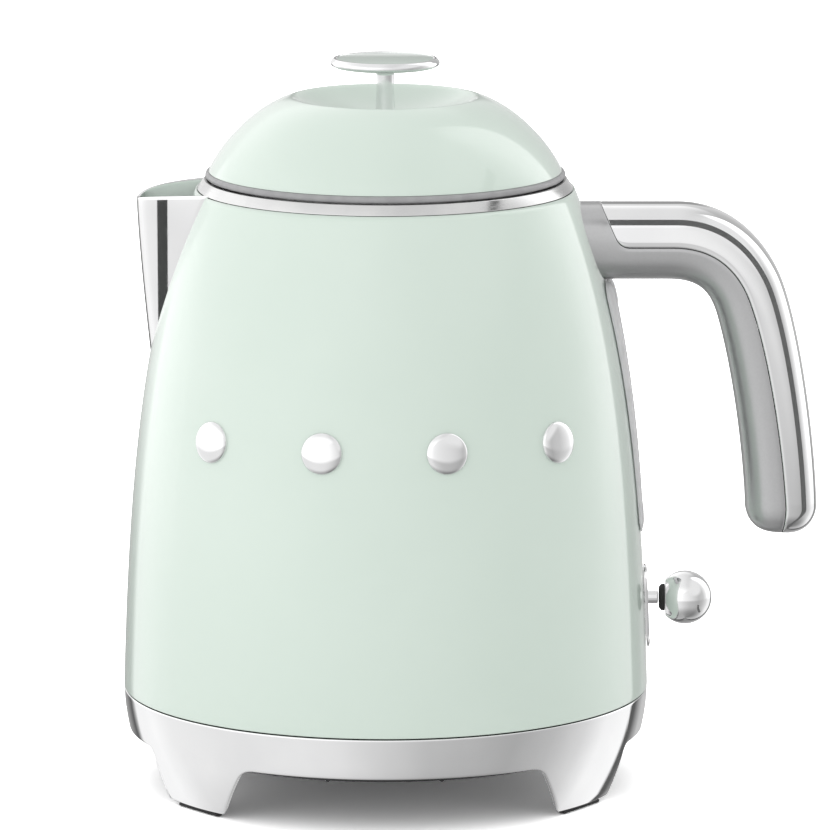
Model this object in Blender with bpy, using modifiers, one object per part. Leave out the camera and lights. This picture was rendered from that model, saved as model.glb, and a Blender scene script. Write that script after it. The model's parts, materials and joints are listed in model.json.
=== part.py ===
"""Compact retro electric kettle on a lift-off power base.

Metres, +Z up. +X points to the handle, -X to the spout, -Y to the front. The object stands on z = 0
and its bounding box is centred on the origin. Every piece is modelled about the turning axis of the
kettle, which is carried by an empty at (AXIS_X, 0, 0).
"""

import math

import bmesh
import bpy
from mathutils import Matrix, Vector

# Whole object
AXIS_X = -0.02544
GAP = 0.0003
FINE_STEPS = 40
RING_STEPS = 32
COARSE_STEPS = 20
SMALL_STEPS = 10
SCREW_STEPS = 8

# Painted body: outer side as a cubic curve of (radius, height) points, neck to foot
BODY_CURVE = ((0.05678, 0.18126), (0.07233, 0.1431), (0.07736, 0.09836), (0.07928, 0.0298))
BODY_WALL = 0.0010
BODY_POINTS = 8
BODY_FACET_SAG = 0.00025

# Power base
SKIRT_TOP_Z = 0.0292
SKIRT_TOP_RADIUS = 0.0792
SKIRT_EDGE_Z = 0.0171
SKIRT_WALL = 0.0026
SKIRT_LEAN = 0.0074
SKIRT_LEAN_POWER = 1.8
SKIRT_COLUMN_STEP = math.radians(5.5)
SKIRT_ROWS = 3
BASE_TURN = 2.0  # degrees that the base stands turned under the kettle
FOOT_ANGLES = tuple(math.radians(a + BASE_TURN) for a in (36.5, 143.5, 216.5, 323.5))
PAD_HEIGHT = 0.0010
PAD_LENGTH = 0.0190
FOOT_BOTTOM_Z = PAD_HEIGHT + GAP
# One foot as (distance along the skirt towards the front or back arch, height of the lower edge)
FOOT_OUTLINE = (
    (-0.0200, SKIRT_EDGE_Z),
    (-0.0175, 0.0160),
    (-0.0165, 0.0130),
    (-0.0158, 0.0028),
    (-0.0150, FOOT_BOTTOM_Z),
    (-0.0075, FOOT_BOTTOM_Z),
    (0.0, FOOT_BOTTOM_Z),
    (0.0066, FOOT_BOTTOM_Z),
    (0.0132, FOOT_BOTTOM_Z),
    (0.0143, 0.0024),
    (0.0222, 0.0137),
    (0.0246, 0.0162),
    (0.0275, SKIRT_EDGE_Z),
)
PAD_RADIUS = 0.0703
DECK_Z = (0.0250, 0.0270)
DECK_RADIUS = 0.0758
DECK_HOLE_RADIUS = 0.0215
PAN_PLATE_Z = (0.0145, 0.0160)
PAN_RADIUS = 0.0690
HUB_RADIUS = 0.0380
HUB_BOTTOM_Z = 0.0080
BASE_SCREW_CIRCLE = 0.0550
CORD_MOUTH_Z = 0.0192
CORD_MOUTH_RADIUS = 0.0048
TOWER_RADIUS = 0.0090
TOWER_TOP_Z = 0.0360

# Underside and vessel floor
COVER_Z = (0.0303, 0.0323)
COVER_SCREW_CIRCLE = 0.0620
FLOOR_Z = 0.0700
SOCKET_RADIUS = 0.0195
SOCKET_BORE = 0.0105
HEATER_RADII = (0.0280, 0.0460)
STEAM_TUBE_AT = (0.0507, 0.0185)
STEAM_TUBE_RADII = (0.0026, 0.0035)

# Neck, spout and filter
BAND_TOP = (0.0544, 0.1843)
BAND_BOTTOM = (0.0564, 0.1816)
MOUTH_RADIUS = 0.0534
COLLAR_RADIUS = 0.0550
COLLAR_BOTTOM_Z = 0.1778
SPOUT_TIP_X = -0.0746
SPOUT_TIP_Z = 0.1784
SPOUT_RIM_RISE = 0.182
SPOUT_NOSE_RADIUS = 0.0015
SPOUT_BOTTOM_Z = 0.1260
SPOUT_LEAN = 0.0045
SPOUT_SPREAD = 0.0262
SPOUT_CURL = 0.0241
SPOUT_HALF_WIDTH = 0.0205
SPOUT_WALL = 0.0010
PORT_HALF_WIDTH = 0.0110
PORT_Z = (0.1500, 0.1730)
FILTER_HALF_WIDTH = 0.0170
FILTER_Z = (0.1380, 0.1750)

# Level window and lever plate, both on the handle side
WINDOW_Z = (0.0772, 0.1535)
WINDOW_HALF_WIDTH = 0.0110
WINDOW_PROUD = (0.0010, 0.0024)
PANE_Z = (0.0850, 0.1460)
PANE_HALF_WIDTH = 0.0060
LEVER_PLATE_Z = (0.0408, 0.0662)
LEVER_PLATE_HALF_WIDTH = 0.0055
LEVER_PLATE_PROUD = 0.0009
LEVER_SLOT_Z = (0.0484, 0.0588)
LEVER_SLOT_HALF_WIDTH = 0.0026

# Handle: (x, z) curves of its inner and outer edges, straight arm, bend and drop
HANDLE_HALF_WIDTH = 0.0125
ARM_INNER = ((0.0550, 0.1540), (0.0745, 0.1540), (0.0847, 0.1540))
ARM_OUTER = ((0.0500, 0.1769), (0.0645, 0.1769), (0.0879, 0.1769))
BEND_INNER = ((0.0847, 0.1540), (0.0952, 0.1540), (0.0979, 0.1494), (0.1001, 0.1414))
BEND_OUTER = ((0.0879, 0.1769), (0.1070, 0.1769), (0.1163, 0.1608), (0.1190, 0.1539))
DROP_INNER = ((0.1001, 0.1414), (0.1040, 0.1272), (0.1074, 0.1057), (0.1085, 0.0860))
DROP_OUTER = ((0.1190, 0.1539), (0.1248, 0.1392), (0.1300, 0.1041), (0.1305, 0.0847))
BEND_SECTIONS = 7
DROP_SECTIONS = 7
TIP_SECTIONS = 4
TIP_DEPTH = 0.0083
TIP_ROUND = 0.0070
SEAM_ARM = 0.474
SEAM_BEND_END = 0.49
SEAM_TIP = 0.55
SECTION_POWER = 2.6
HANDLE_SCREW_Z = (0.1580, 0.1660)

# Switch lever
PIVOT = (0.0580, 0.0, 0.0560)
BALL_X = 0.0906
BALL_RADIUS = 0.0081
BALL_FLAT = 0.0059
BALL_ROWS = 8
STEM_RADIUS = 0.00195
COLLAR_OUT = 0.00415
ROCKER_PIVOT = (0.0380, 0.0, 0.0560)

# Lid
DOME_CURVE = ((0.0286, 0.2089), (0.0408, 0.2050), (0.0505, 0.1928), (0.0529, 0.1870))
DISH_CURVE = ((0.0022, 0.2017), (0.0120, 0.2017), (0.0210, 0.2045), (0.0276, 0.2090))
LID_WALL = 0.0009
PLUG_RADIUS = 0.0506
PLUG_BOTTOM_Z = 0.1785
RIM_Z = (0.1848, 0.1866)
KNOB_RADIUS = 0.01635
KNOB_Z = (0.2174, 0.2206)
INSET_RADIUS = 0.0144
STEM_FOOT_Z = 0.2020
STEM_BORE = 0.0022

# Front studs
STUD_ANGLES = tuple(math.radians(a) for a in (-133.8, -104.4, -75.6, -46.2))
STUD_Z = 0.1135
STUD_RADIUS = 0.0062
STUD_PROUD = 0.0020


# Geometry helpers

def bezier(curve, t):
    """Point of a cubic curve given by four control points."""
    a, b, c, d = (Vector(point) for point in curve)
    s = 1.0 - t
    return a * s**3 + b * (3 * s * s * t) + c * (3 * s * t * t) + d * t**3


def bezier_points(curve, count):
    return [bezier(curve, i / (count - 1)) for i in range(count)]


def smooth_step(t):
    t = min(max(t, 0.0), 1.0)
    return t * t * (3 - 2 * t)


def body_parameter(z):
    """Parameter of the body curve at height z, found by halving."""
    low, high = -0.2, 1.2
    for _ in range(40):
        middle = (low + high) / 2
        if bezier(BODY_CURVE, middle).y > z:
            low = middle
        else:
            high = middle
    return (low + high) / 2


def body_radius(z):
    return bezier(BODY_CURVE, body_parameter(z)).x


def body_normal(z):
    """Outward normal of the body side as (radial, vertical)."""
    step = 0.0005
    slope = (body_radius(z + step) - body_radius(z - step)) / (2 * step)
    return Vector((1.0, -slope)).normalized()


def on_body(angle, z, offset):
    """Point at a distance outside the body's painted surface."""
    normal = body_normal(z)
    radius = body_radius(z) + normal.x * offset
    return Vector((radius * math.cos(angle), radius * math.sin(angle), z + normal.y * offset))


def offset_outline(points, distance):
    """The outline moved sideways, to the left of its direction of travel."""
    moved = []
    for i, point in enumerate(points):
        before = points[max(i - 1, 0)]
        after = points[min(i + 1, len(points) - 1)]
        along = (Vector(after) - Vector(before)).normalized()
        moved.append(Vector(point) + Vector((-along.y, along.x)) * distance)
    return moved


# Scene helpers

def clear_scene():
    for obj in list(bpy.data.objects):
        bpy.data.objects.remove(obj, do_unlink=True)


def make_collection(name):
    collection = bpy.data.collections.new(name)
    bpy.context.scene.collection.children.link(collection)
    return collection


def make_empty(name, location, parent=None):
    empty = bpy.data.objects.new(name, None)
    empty.empty_display_size = 0.02
    empty.location = location
    empty.parent = parent
    PARTS.objects.link(empty)
    return empty


def add_object(name, mesh, material, parent=None, location=(0.0, 0.0, 0.0), rotation=None):
    """A piece of the kettle, placed about its axis unless another parent is given."""
    obj = bpy.data.objects.new(name, mesh)
    obj.parent = parent or AXIS
    obj.location = location
    if rotation is not None:
        obj.rotation_mode = "QUATERNION"
        obj.rotation_quaternion = rotation
    if material is None:
        CUTTERS.objects.link(obj)
        obj.hide_render = True
        obj.display_type = "WIRE"
    else:
        PARTS.objects.link(obj)
        mesh.materials.append(material)
    return obj


def mesh_from(shape, name):
    bmesh.ops.recalc_face_normals(shape, faces=shape.faces)
    mesh = bpy.data.meshes.new(name)
    shape.to_mesh(mesh)
    shape.free()
    mesh.shade_smooth()
    mesh.set_sharp_from_angle(angle=math.radians(35))
    return mesh


def finish(name, colour, metallic, roughness):
    material = bpy.data.materials.new(name)
    material.use_nodes = True
    shader = material.node_tree.nodes["Principled BSDF"]
    shader.inputs["Base Color"].default_value = (*colour, 1.0)
    shader.inputs["Metallic"].default_value = metallic
    shader.inputs["Roughness"].default_value = roughness
    material.diffuse_color = (*colour, 1.0)
    return material


def turned(name, outline, material, steps=FINE_STEPS, **placing):
    """A solid of revolution about its own Z. The outline is closed, or starts and ends on the axis."""
    points = [Vector(point) for point in outline]
    on_axis = points[0].x < 1e-6 and points[-1].x < 1e-6
    area = 0.0
    for i, point in enumerate(points):
        following = points[(i + 1) % len(points)]
        area += point.x * following.y - following.x * point.y
    if area > 0:
        points.reverse()
    edges = [(i, i + 1) for i in range(len(points) - 1)]
    if not on_axis:
        edges.append((len(points) - 1, 0))
    mesh = bpy.data.meshes.new(name)
    mesh.from_pydata([(point.x, 0.0, point.y) for point in points], edges, [])
    obj = add_object(name, mesh, material, **placing)
    screw = obj.modifiers.new("Turn", "SCREW")
    screw.axis = "Z"
    screw.steps = steps
    screw.render_steps = steps
    screw.use_merge_vertices = True
    screw.merge_threshold = 0.00001
    weld = obj.modifiers.new("Weld", "WELD")
    weld.merge_threshold = 0.00001
    return obj


def slab(name, columns, rows, place, material, **placing):
    """A curved plate: place(u, v, side) maps a square grid, side 0 inside and 1 outside."""
    shape = bmesh.new()
    bmesh.ops.create_grid(shape, x_segments=columns, y_segments=rows, size=1.0)
    grown = bmesh.ops.extrude_face_region(shape, geom=list(shape.faces))
    outer = {item for item in grown["geom"] if isinstance(item, bmesh.types.BMVert)}
    for vertex in shape.verts:
        vertex.co = place(vertex.co.x, vertex.co.y, 1 if vertex in outer else 0)
    return add_object(name, mesh_from(shape, name), material, **placing)


def loft(name, rings, material, **placing):
    """Skin between unlike sections that have the same number of points, closed at both ends."""
    shape = bmesh.new()
    rows = [[shape.verts.new(point) for point in ring] for ring in rings]
    count = len(rows[0])
    for first, second in zip(rows, rows[1:]):
        for i in range(count):
            j = (i + 1) % count
            shape.faces.new((first[i], first[j], second[j], second[i]))
    shape.faces.new(rows[0])
    shape.faces.new(rows[-1])
    return add_object(name, mesh_from(shape, name), material, **placing)


def block(name, size, centre, material, bevel=0.0, **placing):
    """A box about a centre, with rounded edges if a bevel is given."""
    shape = bmesh.new()
    bmesh.ops.create_cube(shape, size=1.0)
    bmesh.ops.scale(shape, vec=size, verts=shape.verts)
    bmesh.ops.translate(shape, vec=centre, verts=shape.verts)
    obj = add_object(name, mesh_from(shape, name), material, **placing)
    if bevel:
        rounding = obj.modifiers.new("Round", "BEVEL")
        rounding.width = bevel
        rounding.segments = 2
    return obj


def rod(name, radius, start, end, material, steps=SMALL_STEPS, **placing):
    """A cylinder between two points."""
    start, end = Vector(start), Vector(end)
    along = end - start
    shape = bmesh.new()
    bmesh.ops.create_cone(
        shape, cap_ends=True, segments=steps, radius1=radius, radius2=radius, depth=along.length
    )
    turn = Vector((0, 0, 1)).rotation_difference(along).to_matrix().to_4x4()
    bmesh.ops.transform(shape, matrix=Matrix.Translation((start + end) / 2) @ turn, verts=shape.verts)
    return add_object(name, mesh_from(shape, name), material, **placing)


def screw_fastener(name, head_radius, head_length, radius, length, seat, direction, material):
    """A screw whose head ends at the seat point and whose shank runs on along the direction."""
    outline = [
        (0.0, -head_length),
        (head_radius, -head_length),
        (head_radius, 0.0),
        (radius, 0.0),
        (radius, length),
        (0.0, length),
    ]
    rotation = Vector((0, 0, 1)).rotation_difference(Vector(direction))
    return turned(name, outline, material, SCREW_STEPS, location=seat, rotation=rotation)


def combine(obj, other, operation="DIFFERENCE"):
    change = obj.modifiers.new(operation.title(), "BOOLEAN")
    change.operation = operation
    change.solver = "EXACT"
    change.object = other


def body_cutter(name, offset):
    """The body's outside as a full solid, grown by an offset and running past both ends."""
    side = [on_body(0.0, z, offset).xz for z in (0.186, 0.174, 0.162, 0.150, 0.138, 0.126, 0.112)]
    outline = [(0.0, side[0].y), *side, (0.0, side[-1].y)]
    return turned(name, outline, None, 2 * FINE_STEPS)


def patch(name, angle, heights, half_width, offsets, material, corner=0.003, grid=(6, 10)):
    """A plate that follows the body's side: offsets(v, side) is its distance from the paint."""
    low, high = heights

    def place(u, v, side):
        z = low + (high - low) * (v + 1) / 2
        to_end = min(z - low, high - z)
        inset = max(corner - to_end, 0.0)
        width = half_width - corner + math.sqrt(max(corner**2 - inset**2, 0.0))
        return on_body(angle + u * width / body_radius(z), z, offsets(v, side))

    return slab(name, *grid, place, material)


# Finishes

def mint_enamel():
    return finish("mint_enamel", (0.70, 0.83, 0.73), 0.0, 0.12)


def polished_chrome():
    return finish("polished_chrome", (0.82, 0.82, 0.83), 1.0, 0.08)


def satin_grey_plastic():
    return finish("satin_grey_plastic", (0.36, 0.36, 0.37), 0.0, 0.35)


def frosted_plastic():
    return finish("frosted_plastic", (0.86, 0.86, 0.87), 0.0, 0.25)


def dark_plastic():
    return finish("dark_plastic", (0.05, 0.05, 0.055), 0.0, 0.5)


def black_rubber():
    return finish("black_rubber", (0.02, 0.02, 0.02), 0.0, 0.7)


def grey_silicone():
    return finish("grey_silicone", (0.42, 0.42, 0.43), 0.0, 0.45)


def clear_plastic():
    return finish("clear_plastic", (0.80, 0.84, 0.84), 0.0, 0.1)


def vessel_steel():
    return finish("vessel_steel", (0.62, 0.62, 0.62), 1.0, 0.3)


def cast_aluminium():
    return finish("cast_aluminium", (0.66, 0.66, 0.67), 1.0, 0.45)


def contact_brass():
    return finish("contact_brass", (0.72, 0.56, 0.27), 1.0, 0.3)


# Power base

def skirt_radius(z):
    depth = max(1 - z / SKIRT_TOP_Z, 0.0)
    return SKIRT_TOP_RADIUS - SKIRT_LEAN * depth**SKIRT_LEAN_POWER


def skirt_columns():
    """Angle and height of the lower edge at each column of the skirt, all the way round."""
    radius = skirt_radius(SKIRT_EDGE_Z)
    columns = []
    for i, foot in enumerate(FOOT_ANGLES):
        to_arch = 1 if i % 2 == 0 else -1
        columns += [(foot + to_arch * along / radius, z) for along, z in FOOT_OUTLINE[::to_arch]]
        following = FOOT_ANGLES[(i + 1) % 4] + (math.tau if i == 3 else 0.0)
        nearest = FOOT_OUTLINE[-1][0] if to_arch == 1 else -FOOT_OUTLINE[0][0]
        start, end = columns[-1][0], following - nearest / radius
        count = math.ceil((end - start) / SKIRT_COLUMN_STEP)
        columns += [(start + (end - start) * k / count, SKIRT_EDGE_Z) for k in range(1, count)]
    return columns


def base_skirt(chrome):
    columns = skirt_columns()
    shape = bmesh.new()
    bmesh.ops.create_grid(shape, x_segments=len(columns), y_segments=SKIRT_ROWS, size=1.0)
    for vertex in shape.verts:
        angle, edge = columns[round((vertex.co.x + 1) / 2 * len(columns)) % len(columns)]
        z = edge + (SKIRT_TOP_Z - edge) * (vertex.co.y + 1) / 2
        radius = skirt_radius(z)
        vertex.co = (radius * math.cos(angle), radius * math.sin(angle), z)
    bmesh.ops.remove_doubles(shape, verts=shape.verts, dist=0.00001)
    skirt = add_object("base_skirt", mesh_from(shape, "base_skirt"), chrome)
    wall = skirt.modifiers.new("Wall", "SOLIDIFY")
    wall.thickness = SKIRT_WALL
    wall.offset = -1.0


def base_deck(plastic):
    low, high = DECK_Z
    outline = [(DECK_RADIUS, high), (DECK_RADIUS, low), (DECK_HOLE_RADIUS, low), (DECK_HOLE_RADIUS, high)]
    deck = turned("base_deck", outline, plastic, RING_STEPS)
    for i, (x, y) in enumerate(screw_circle(BASE_SCREW_CIRCLE)):
        foot_z = PAN_PLATE_Z[1] + GAP
        post = rod(f"deck_post_{i}", 0.0036, (x, y, foot_z), (x, y, low + 0.001), None)
        combine(deck, post, "UNION")
        combine(deck, rod(f"deck_hole_{i}", 0.0017, (x, y, 0.010), (x, y, 0.0235), None))


def screw_circle(radius):
    """Places of three screws, one of them towards the back."""
    angles = (math.radians(90 + 120 * i) for i in range(3))
    return [(radius * math.cos(a), radius * math.sin(a)) for a in angles]


def base_pan(plastic):
    bottom, top = PAN_PLATE_Z
    wall = top - bottom
    rim_z = DECK_Z[0] - GAP
    outline = [
        (0.0, HUB_BOTTOM_Z + wall),
        (HUB_RADIUS - wall, HUB_BOTTOM_Z + wall),
        (HUB_RADIUS, top),
        (PAN_RADIUS - wall, top),
        (PAN_RADIUS - wall, rim_z),
        (PAN_RADIUS, rim_z),
        (PAN_RADIUS, bottom),
        (HUB_RADIUS + wall, bottom),
        (HUB_RADIUS, HUB_BOTTOM_Z),
        (0.0, HUB_BOTTOM_Z),
    ]
    pan = turned("base_pan", outline, plastic, COARSE_STEPS)
    for i, (x, y) in enumerate(screw_circle(BASE_SCREW_CIRCLE)):
        combine(pan, rod(f"pan_hole_{i}", 0.0018, (x, y, 0.010), (x, y, 0.019), None))
    inside = (0, PAN_RADIUS - 0.010, CORD_MOUTH_Z)
    outside = (0, PAN_RADIUS + 0.010, CORD_MOUTH_Z)
    combine(pan, rod("pan_cord_mouth", CORD_MOUTH_RADIUS + GAP, inside, outside, None))


def base_screws(steel):
    for i, (x, y) in enumerate(screw_circle(BASE_SCREW_CIRCLE)):
        seat = (x, y, PAN_PLATE_Z[0] - GAP)
        screw_fastener(f"base_screw_{i + 1}", 0.0030, 0.0014, 0.0014, 0.0080, seat, (0, 0, 1), steel)


def cord_grommet(rubber):
    """Flanged cord outlet in the pan's back wall, its axis along Y."""
    outline = [
        (CORD_MOUTH_RADIUS, -0.0060),
        (CORD_MOUTH_RADIUS, 0.0),
        (0.0055, 0.0),
        (0.0055, 0.0020),
        (0.0033, 0.0020),
        (0.0033, -0.0060),
    ]
    rotation = Vector((0, 0, 1)).rotation_difference(Vector((0, 1, 0)))
    place = (0.0, PAN_RADIUS + GAP, CORD_MOUTH_Z)
    turned("cord_grommet", outline, rubber, SMALL_STEPS, location=place, rotation=rotation)


def foot_pads(rubber):
    for i, angle in enumerate(FOOT_ANGLES):
        across = Vector((-math.sin(angle), math.cos(angle), 0.0))
        out = Vector((math.cos(angle), math.sin(angle), 0.0))
        rotation = Matrix((out, across, (0, 0, 1))).transposed().to_quaternion()
        size = (0.0024, PAD_LENGTH, PAD_HEIGHT)
        place = out * PAD_RADIUS
        name = f"foot_pad_{i + 1}"
        block(name, size, (0, 0, PAD_HEIGHT / 2), rubber, location=place, rotation=rotation)


def base_connector(plastic):
    flange_z = DECK_Z[0] - GAP
    outline = [
        (0.0, 0.0260),
        (0.0030, 0.0260),
        (0.0030, TOWER_TOP_Z),
        (0.0046, TOWER_TOP_Z),
        (0.0046, 0.0280),
        (0.0064, 0.0280),
        (0.0064, TOWER_TOP_Z),
        (TOWER_RADIUS, TOWER_TOP_Z),
        (TOWER_RADIUS, flange_z),
        (0.0240, flange_z),
        (0.0240, flange_z - 0.0022),
        (0.0, flange_z - 0.0022),
    ]
    turned("base_connector", outline, plastic, COARSE_STEPS)


def base_contacts(brass):
    rod("pin_contact", 0.0016, (0, 0, 0.0263), (0, 0, 0.0400), brass)
    inner = [(0.0059, 0.0355), (0.0059, 0.0283), (0.0051, 0.0283), (0.0051, 0.0355)]
    turned("inner_ring_contact", inner, brass, COARSE_STEPS)
    outer = [(0.0100, 0.0330), (0.0100, 0.0250), (0.0093, 0.0250), (0.0093, 0.0330)]
    turned("outer_ring_contact", outer, brass, COARSE_STEPS)


def connector_shutter(plastic):
    outline = [(0.0210, 0.0294), (0.0210, 0.0250), (0.0105, 0.0250), (0.0105, 0.0294)]
    turned("connector_shutter", outline, plastic, COARSE_STEPS)


# Kettle

def body_shell(enamel):
    outer = bezier_points(BODY_CURVE, BODY_POINTS)
    inner = offset_outline(outer, -BODY_WALL)
    shell = turned("body_shell", outer + inner[::-1], enamel)
    port = (PORT_Z[0] + PORT_Z[1]) / 2
    port_size = (0.030, 2 * PORT_HALF_WIDTH, PORT_Z[1] - PORT_Z[0])
    combine(shell, block("spout_port", port_size, (-body_radius(port), 0, port), None))
    combine(shell, side_slot("window_slot", PANE_Z, PANE_HALF_WIDTH - 0.001))
    combine(shell, side_slot("lever_slot", LEVER_SLOT_Z, LEVER_SLOT_HALF_WIDTH))
    for i, z in enumerate(HANDLE_SCREW_Z):
        combine(shell, handle_drill(f"wall_hole_{i}", z, 0.0019))


def side_slot(name, heights, half_width):
    """Straight-sided cutter through the handle side of the wall."""
    low, high = heights
    middle = (low + high) / 2
    return block(name, (0.030, 2 * half_width, high - low), (body_radius(middle), 0, middle), None)


def handle_drill(name, z, radius):
    """Cutter along the body's normal at height z, through the wall and into the handle's root."""
    return rod(name, radius, on_body(0.0, z, -0.010), on_body(0.0, z, 0.0065), None)


def neck_band(steel):
    bottom = BAND_BOTTOM[1]
    outline = [
        BAND_TOP,
        BAND_BOTTOM,
        (COLLAR_RADIUS, bottom),
        (COLLAR_RADIUS, COLLAR_BOTTOM_Z),
        (MOUTH_RADIUS, COLLAR_BOTTOM_Z),
        (MOUTH_RADIUS, BAND_TOP[1]),
    ]
    turned("neck_band", outline, steel, RING_STEPS)


def spout_point(u, v, inset):
    """Point of the spout's pointed plan at a height, moved inwards by the wall."""
    y = u * SPOUT_HALF_WIDTH
    along = y**2 / SPOUT_SPREAD + y**6 / SPOUT_CURL**5
    slope = 2 * y / SPOUT_SPREAD + 6 * y**5 / SPOUT_CURL**5
    rim = SPOUT_TIP_Z + SPOUT_RIM_RISE * (math.hypot(y, SPOUT_NOSE_RADIUS) - SPOUT_NOSE_RADIUS)
    z = SPOUT_BOTTOM_Z + (rim - SPOUT_BOTTOM_Z) * v
    lean = SPOUT_LEAN * (1 - v) ** 1.3
    inward = Vector((1.0, -slope)).normalized() * inset
    return Vector((SPOUT_TIP_X + lean + along + inward.x, y + inward.y, z))


def spout(chrome):
    def place(u, v, side):
        return spout_point(u, (v + 1) / 2, 0.0 if side else SPOUT_WALL)

    piece = slab("spout", 16, 6, place, chrome)
    combine(piece, body_cutter("spout_seat", GAP))


def filter_frame(plastic):
    outer = -(BODY_WALL + BODY_FACET_SAG + GAP)
    offsets = lambda v, side: outer if side else outer - 0.0014
    frame = patch("filter_frame", math.pi, FILTER_Z, FILTER_HALF_WIDTH, offsets, plastic)
    low, high = FILTER_Z[0] + 0.004, FILTER_Z[1] - 0.004
    middle = (low + high) / 2
    size = (0.030, 2 * FILTER_HALF_WIDTH - 0.008, high - low)
    combine(frame, block("filter_window", size, (-body_radius(middle), 0, middle), None))


def filter_mesh(steel):
    outer = -(BODY_WALL + BODY_FACET_SAG + GAP) - 0.0005
    offsets = lambda v, side: outer if side else outer - 0.0004
    heights = (FILTER_Z[0] + 0.0047, FILTER_Z[1] - 0.0047)
    half_width = FILTER_HALF_WIDTH - 0.0046
    patch("filter_mesh", math.pi, heights, half_width, offsets, steel, 0.0002, (4, 4))


def window_frame(plastic):
    def offsets(v, side):
        proud = WINDOW_PROUD[0] + (WINDOW_PROUD[1] - WINDOW_PROUD[0]) * (v + 1) / 2
        return GAP + (proud if side else 0.0)

    frame = patch("window_frame", 0.0, WINDOW_Z, WINDOW_HALF_WIDTH, offsets, plastic, 0.006, (6, 14))
    combine(frame, side_slot("window_opening", PANE_Z, PANE_HALF_WIDTH))


def water_window(clear):
    offsets = lambda v, side: 0.0012 if side else -BODY_WALL
    heights = (PANE_Z[0] + 0.0004, PANE_Z[1] - 0.0004)
    half_width = PANE_HALF_WIDTH - 0.0014
    patch("water_window", 0.0, heights, half_width, offsets, clear, 0.0005, (2, 8))


def lever_plate(chrome):
    offsets = lambda v, side: GAP + (LEVER_PLATE_PROUD if side else 0.0)
    width = LEVER_PLATE_HALF_WIDTH
    plate = patch("lever_plate", 0.0, LEVER_PLATE_Z, width, offsets, chrome, 0.0045, (4, 10))
    combine(plate, side_slot("plate_slot", LEVER_SLOT_Z, LEVER_SLOT_HALF_WIDTH))


def handle_stations():
    """Pairs of (inner, outer) edge points from inside the body to the tip, with the seam's share."""
    stations = [(Vector(a), Vector(b), SEAM_ARM) for a, b in zip(ARM_INNER[:2], ARM_OUTER[:2])]
    for i in range(BEND_SECTIONS):
        t = i / (BEND_SECTIONS - 1)
        seam = SEAM_ARM + (SEAM_BEND_END - SEAM_ARM) * smooth_step(t)
        stations.append((bezier(BEND_INNER, t), bezier(BEND_OUTER, t), seam))
    for i in range(1, DROP_SECTIONS):
        t = i / (DROP_SECTIONS - 1)
        seam = SEAM_BEND_END + (SEAM_TIP - SEAM_BEND_END) * t
        stations.append((bezier(DROP_INNER, t), bezier(DROP_OUTER, t), seam))
    return stations


def tip_stations(inner, outer):
    """Rounded end below the last pair of edge points."""
    down = Vector((outer.y - inner.y, inner.x - outer.x)).normalized()
    across = (outer - inner).normalized()
    stations = []
    for i in range(1, TIP_SECTIONS + 1):
        angle = math.radians(90) * i / TIP_SECTIONS
        shift = down * TIP_DEPTH * math.sin(angle)
        inset = TIP_ROUND * (1 - math.cos(angle))
        stations.append((inner + shift + across * inset, outer + shift - across * inset, inset))
    return stations


def handle_section(inner, outer, low, high, half_width, points=14):
    """Part of a rounded section between two shares of the way from inner to outer edge."""
    middle = (inner + outer) / 2
    half = (outer - inner) / 2
    ring = []
    start = math.asin(min(max(2 * low - 1, -1.0), 1.0))
    end = math.asin(min(max(2 * high - 1, -1.0), 1.0))
    for side in (1, -1):
        for i in range(points // 2):
            t = i / (points // 2 - 1)
            angle = start + (end - start) * (t if side == 1 else 1 - t)
            along = math.copysign(abs(math.sin(angle)) ** (2 / SECTION_POWER), math.sin(angle))
            width = half_width * abs(math.cos(angle)) ** (2 / SECTION_POWER)
            point = middle + half * along
            ring.append(Vector((point.x, side * width, point.y)))
    return ring


def seam_share(seam):
    """Share along the rounded section's angle scale that lands on the seam's straight share."""
    along = 2 * seam - 1
    return (math.copysign(abs(along) ** (SECTION_POWER / 2), along) + 1) / 2


def handle_core(plastic):
    stations = handle_stations()
    bottom, top = 0.02, 0.98
    rings = []
    for inner, outer, seam in stations[:2]:
        rings.append(handle_section(inner, outer, bottom, top, HANDLE_HALF_WIDTH))
    root_step = Vector((GAP, 0.0))
    inner, outer, seam = stations[1]
    root = (inner + root_step, outer + root_step, seam)
    share_gap = GAP / 2 / (outer - inner).length
    for inner, outer, seam in [root, *stations[2:]]:
        share = seam_share(seam - share_gap)
        rings.append(handle_section(inner, outer, bottom, share, HANDLE_HALF_WIDTH))
    for inner, outer, inset in tip_stations(*stations[-1][:2]):
        share = seam_share(SEAM_TIP - share_gap)
        rings.append(handle_section(inner, outer, bottom, share, HANDLE_HALF_WIDTH - inset))
    core = loft("handle_core", rings, plastic)
    combine(core, body_cutter("handle_seat", GAP))
    for i, z in enumerate(HANDLE_SCREW_Z):
        combine(core, handle_drill(f"core_hole_{i}", z, 0.0019))


def handle_cover(chrome):
    stations = handle_stations()
    top = 0.98
    rings = []
    root_step = Vector((2.5 * GAP, 0.0))
    inner, outer, seam = stations[1]
    root = (inner + root_step, outer + root_step, seam)
    share_gap = GAP / 2 / (outer - inner).length
    for inner, outer, seam in [root, *stations[2:]]:
        share = seam_share(seam + share_gap)
        rings.append(handle_section(inner, outer, share, top, HANDLE_HALF_WIDTH))
    for inner, outer, inset in tip_stations(*stations[-1][:2]):
        share = seam_share(SEAM_TIP + share_gap)
        rings.append(handle_section(inner, outer, share, top, HANDLE_HALF_WIDTH - inset))
    loft("handle_cover", rings, chrome)


def handle_backplate(steel):
    outer = -(BODY_WALL + BODY_FACET_SAG + GAP)
    offsets = lambda v, side: outer if side else outer - 0.0015
    plate = patch("handle_backplate", 0.0, (0.1535, 0.1705), 0.009, offsets, steel, 0.002, (4, 5))
    for i, z in enumerate(HANDLE_SCREW_Z):
        combine(plate, handle_drill(f"plate_hole_{i}", z, 0.0019))


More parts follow.
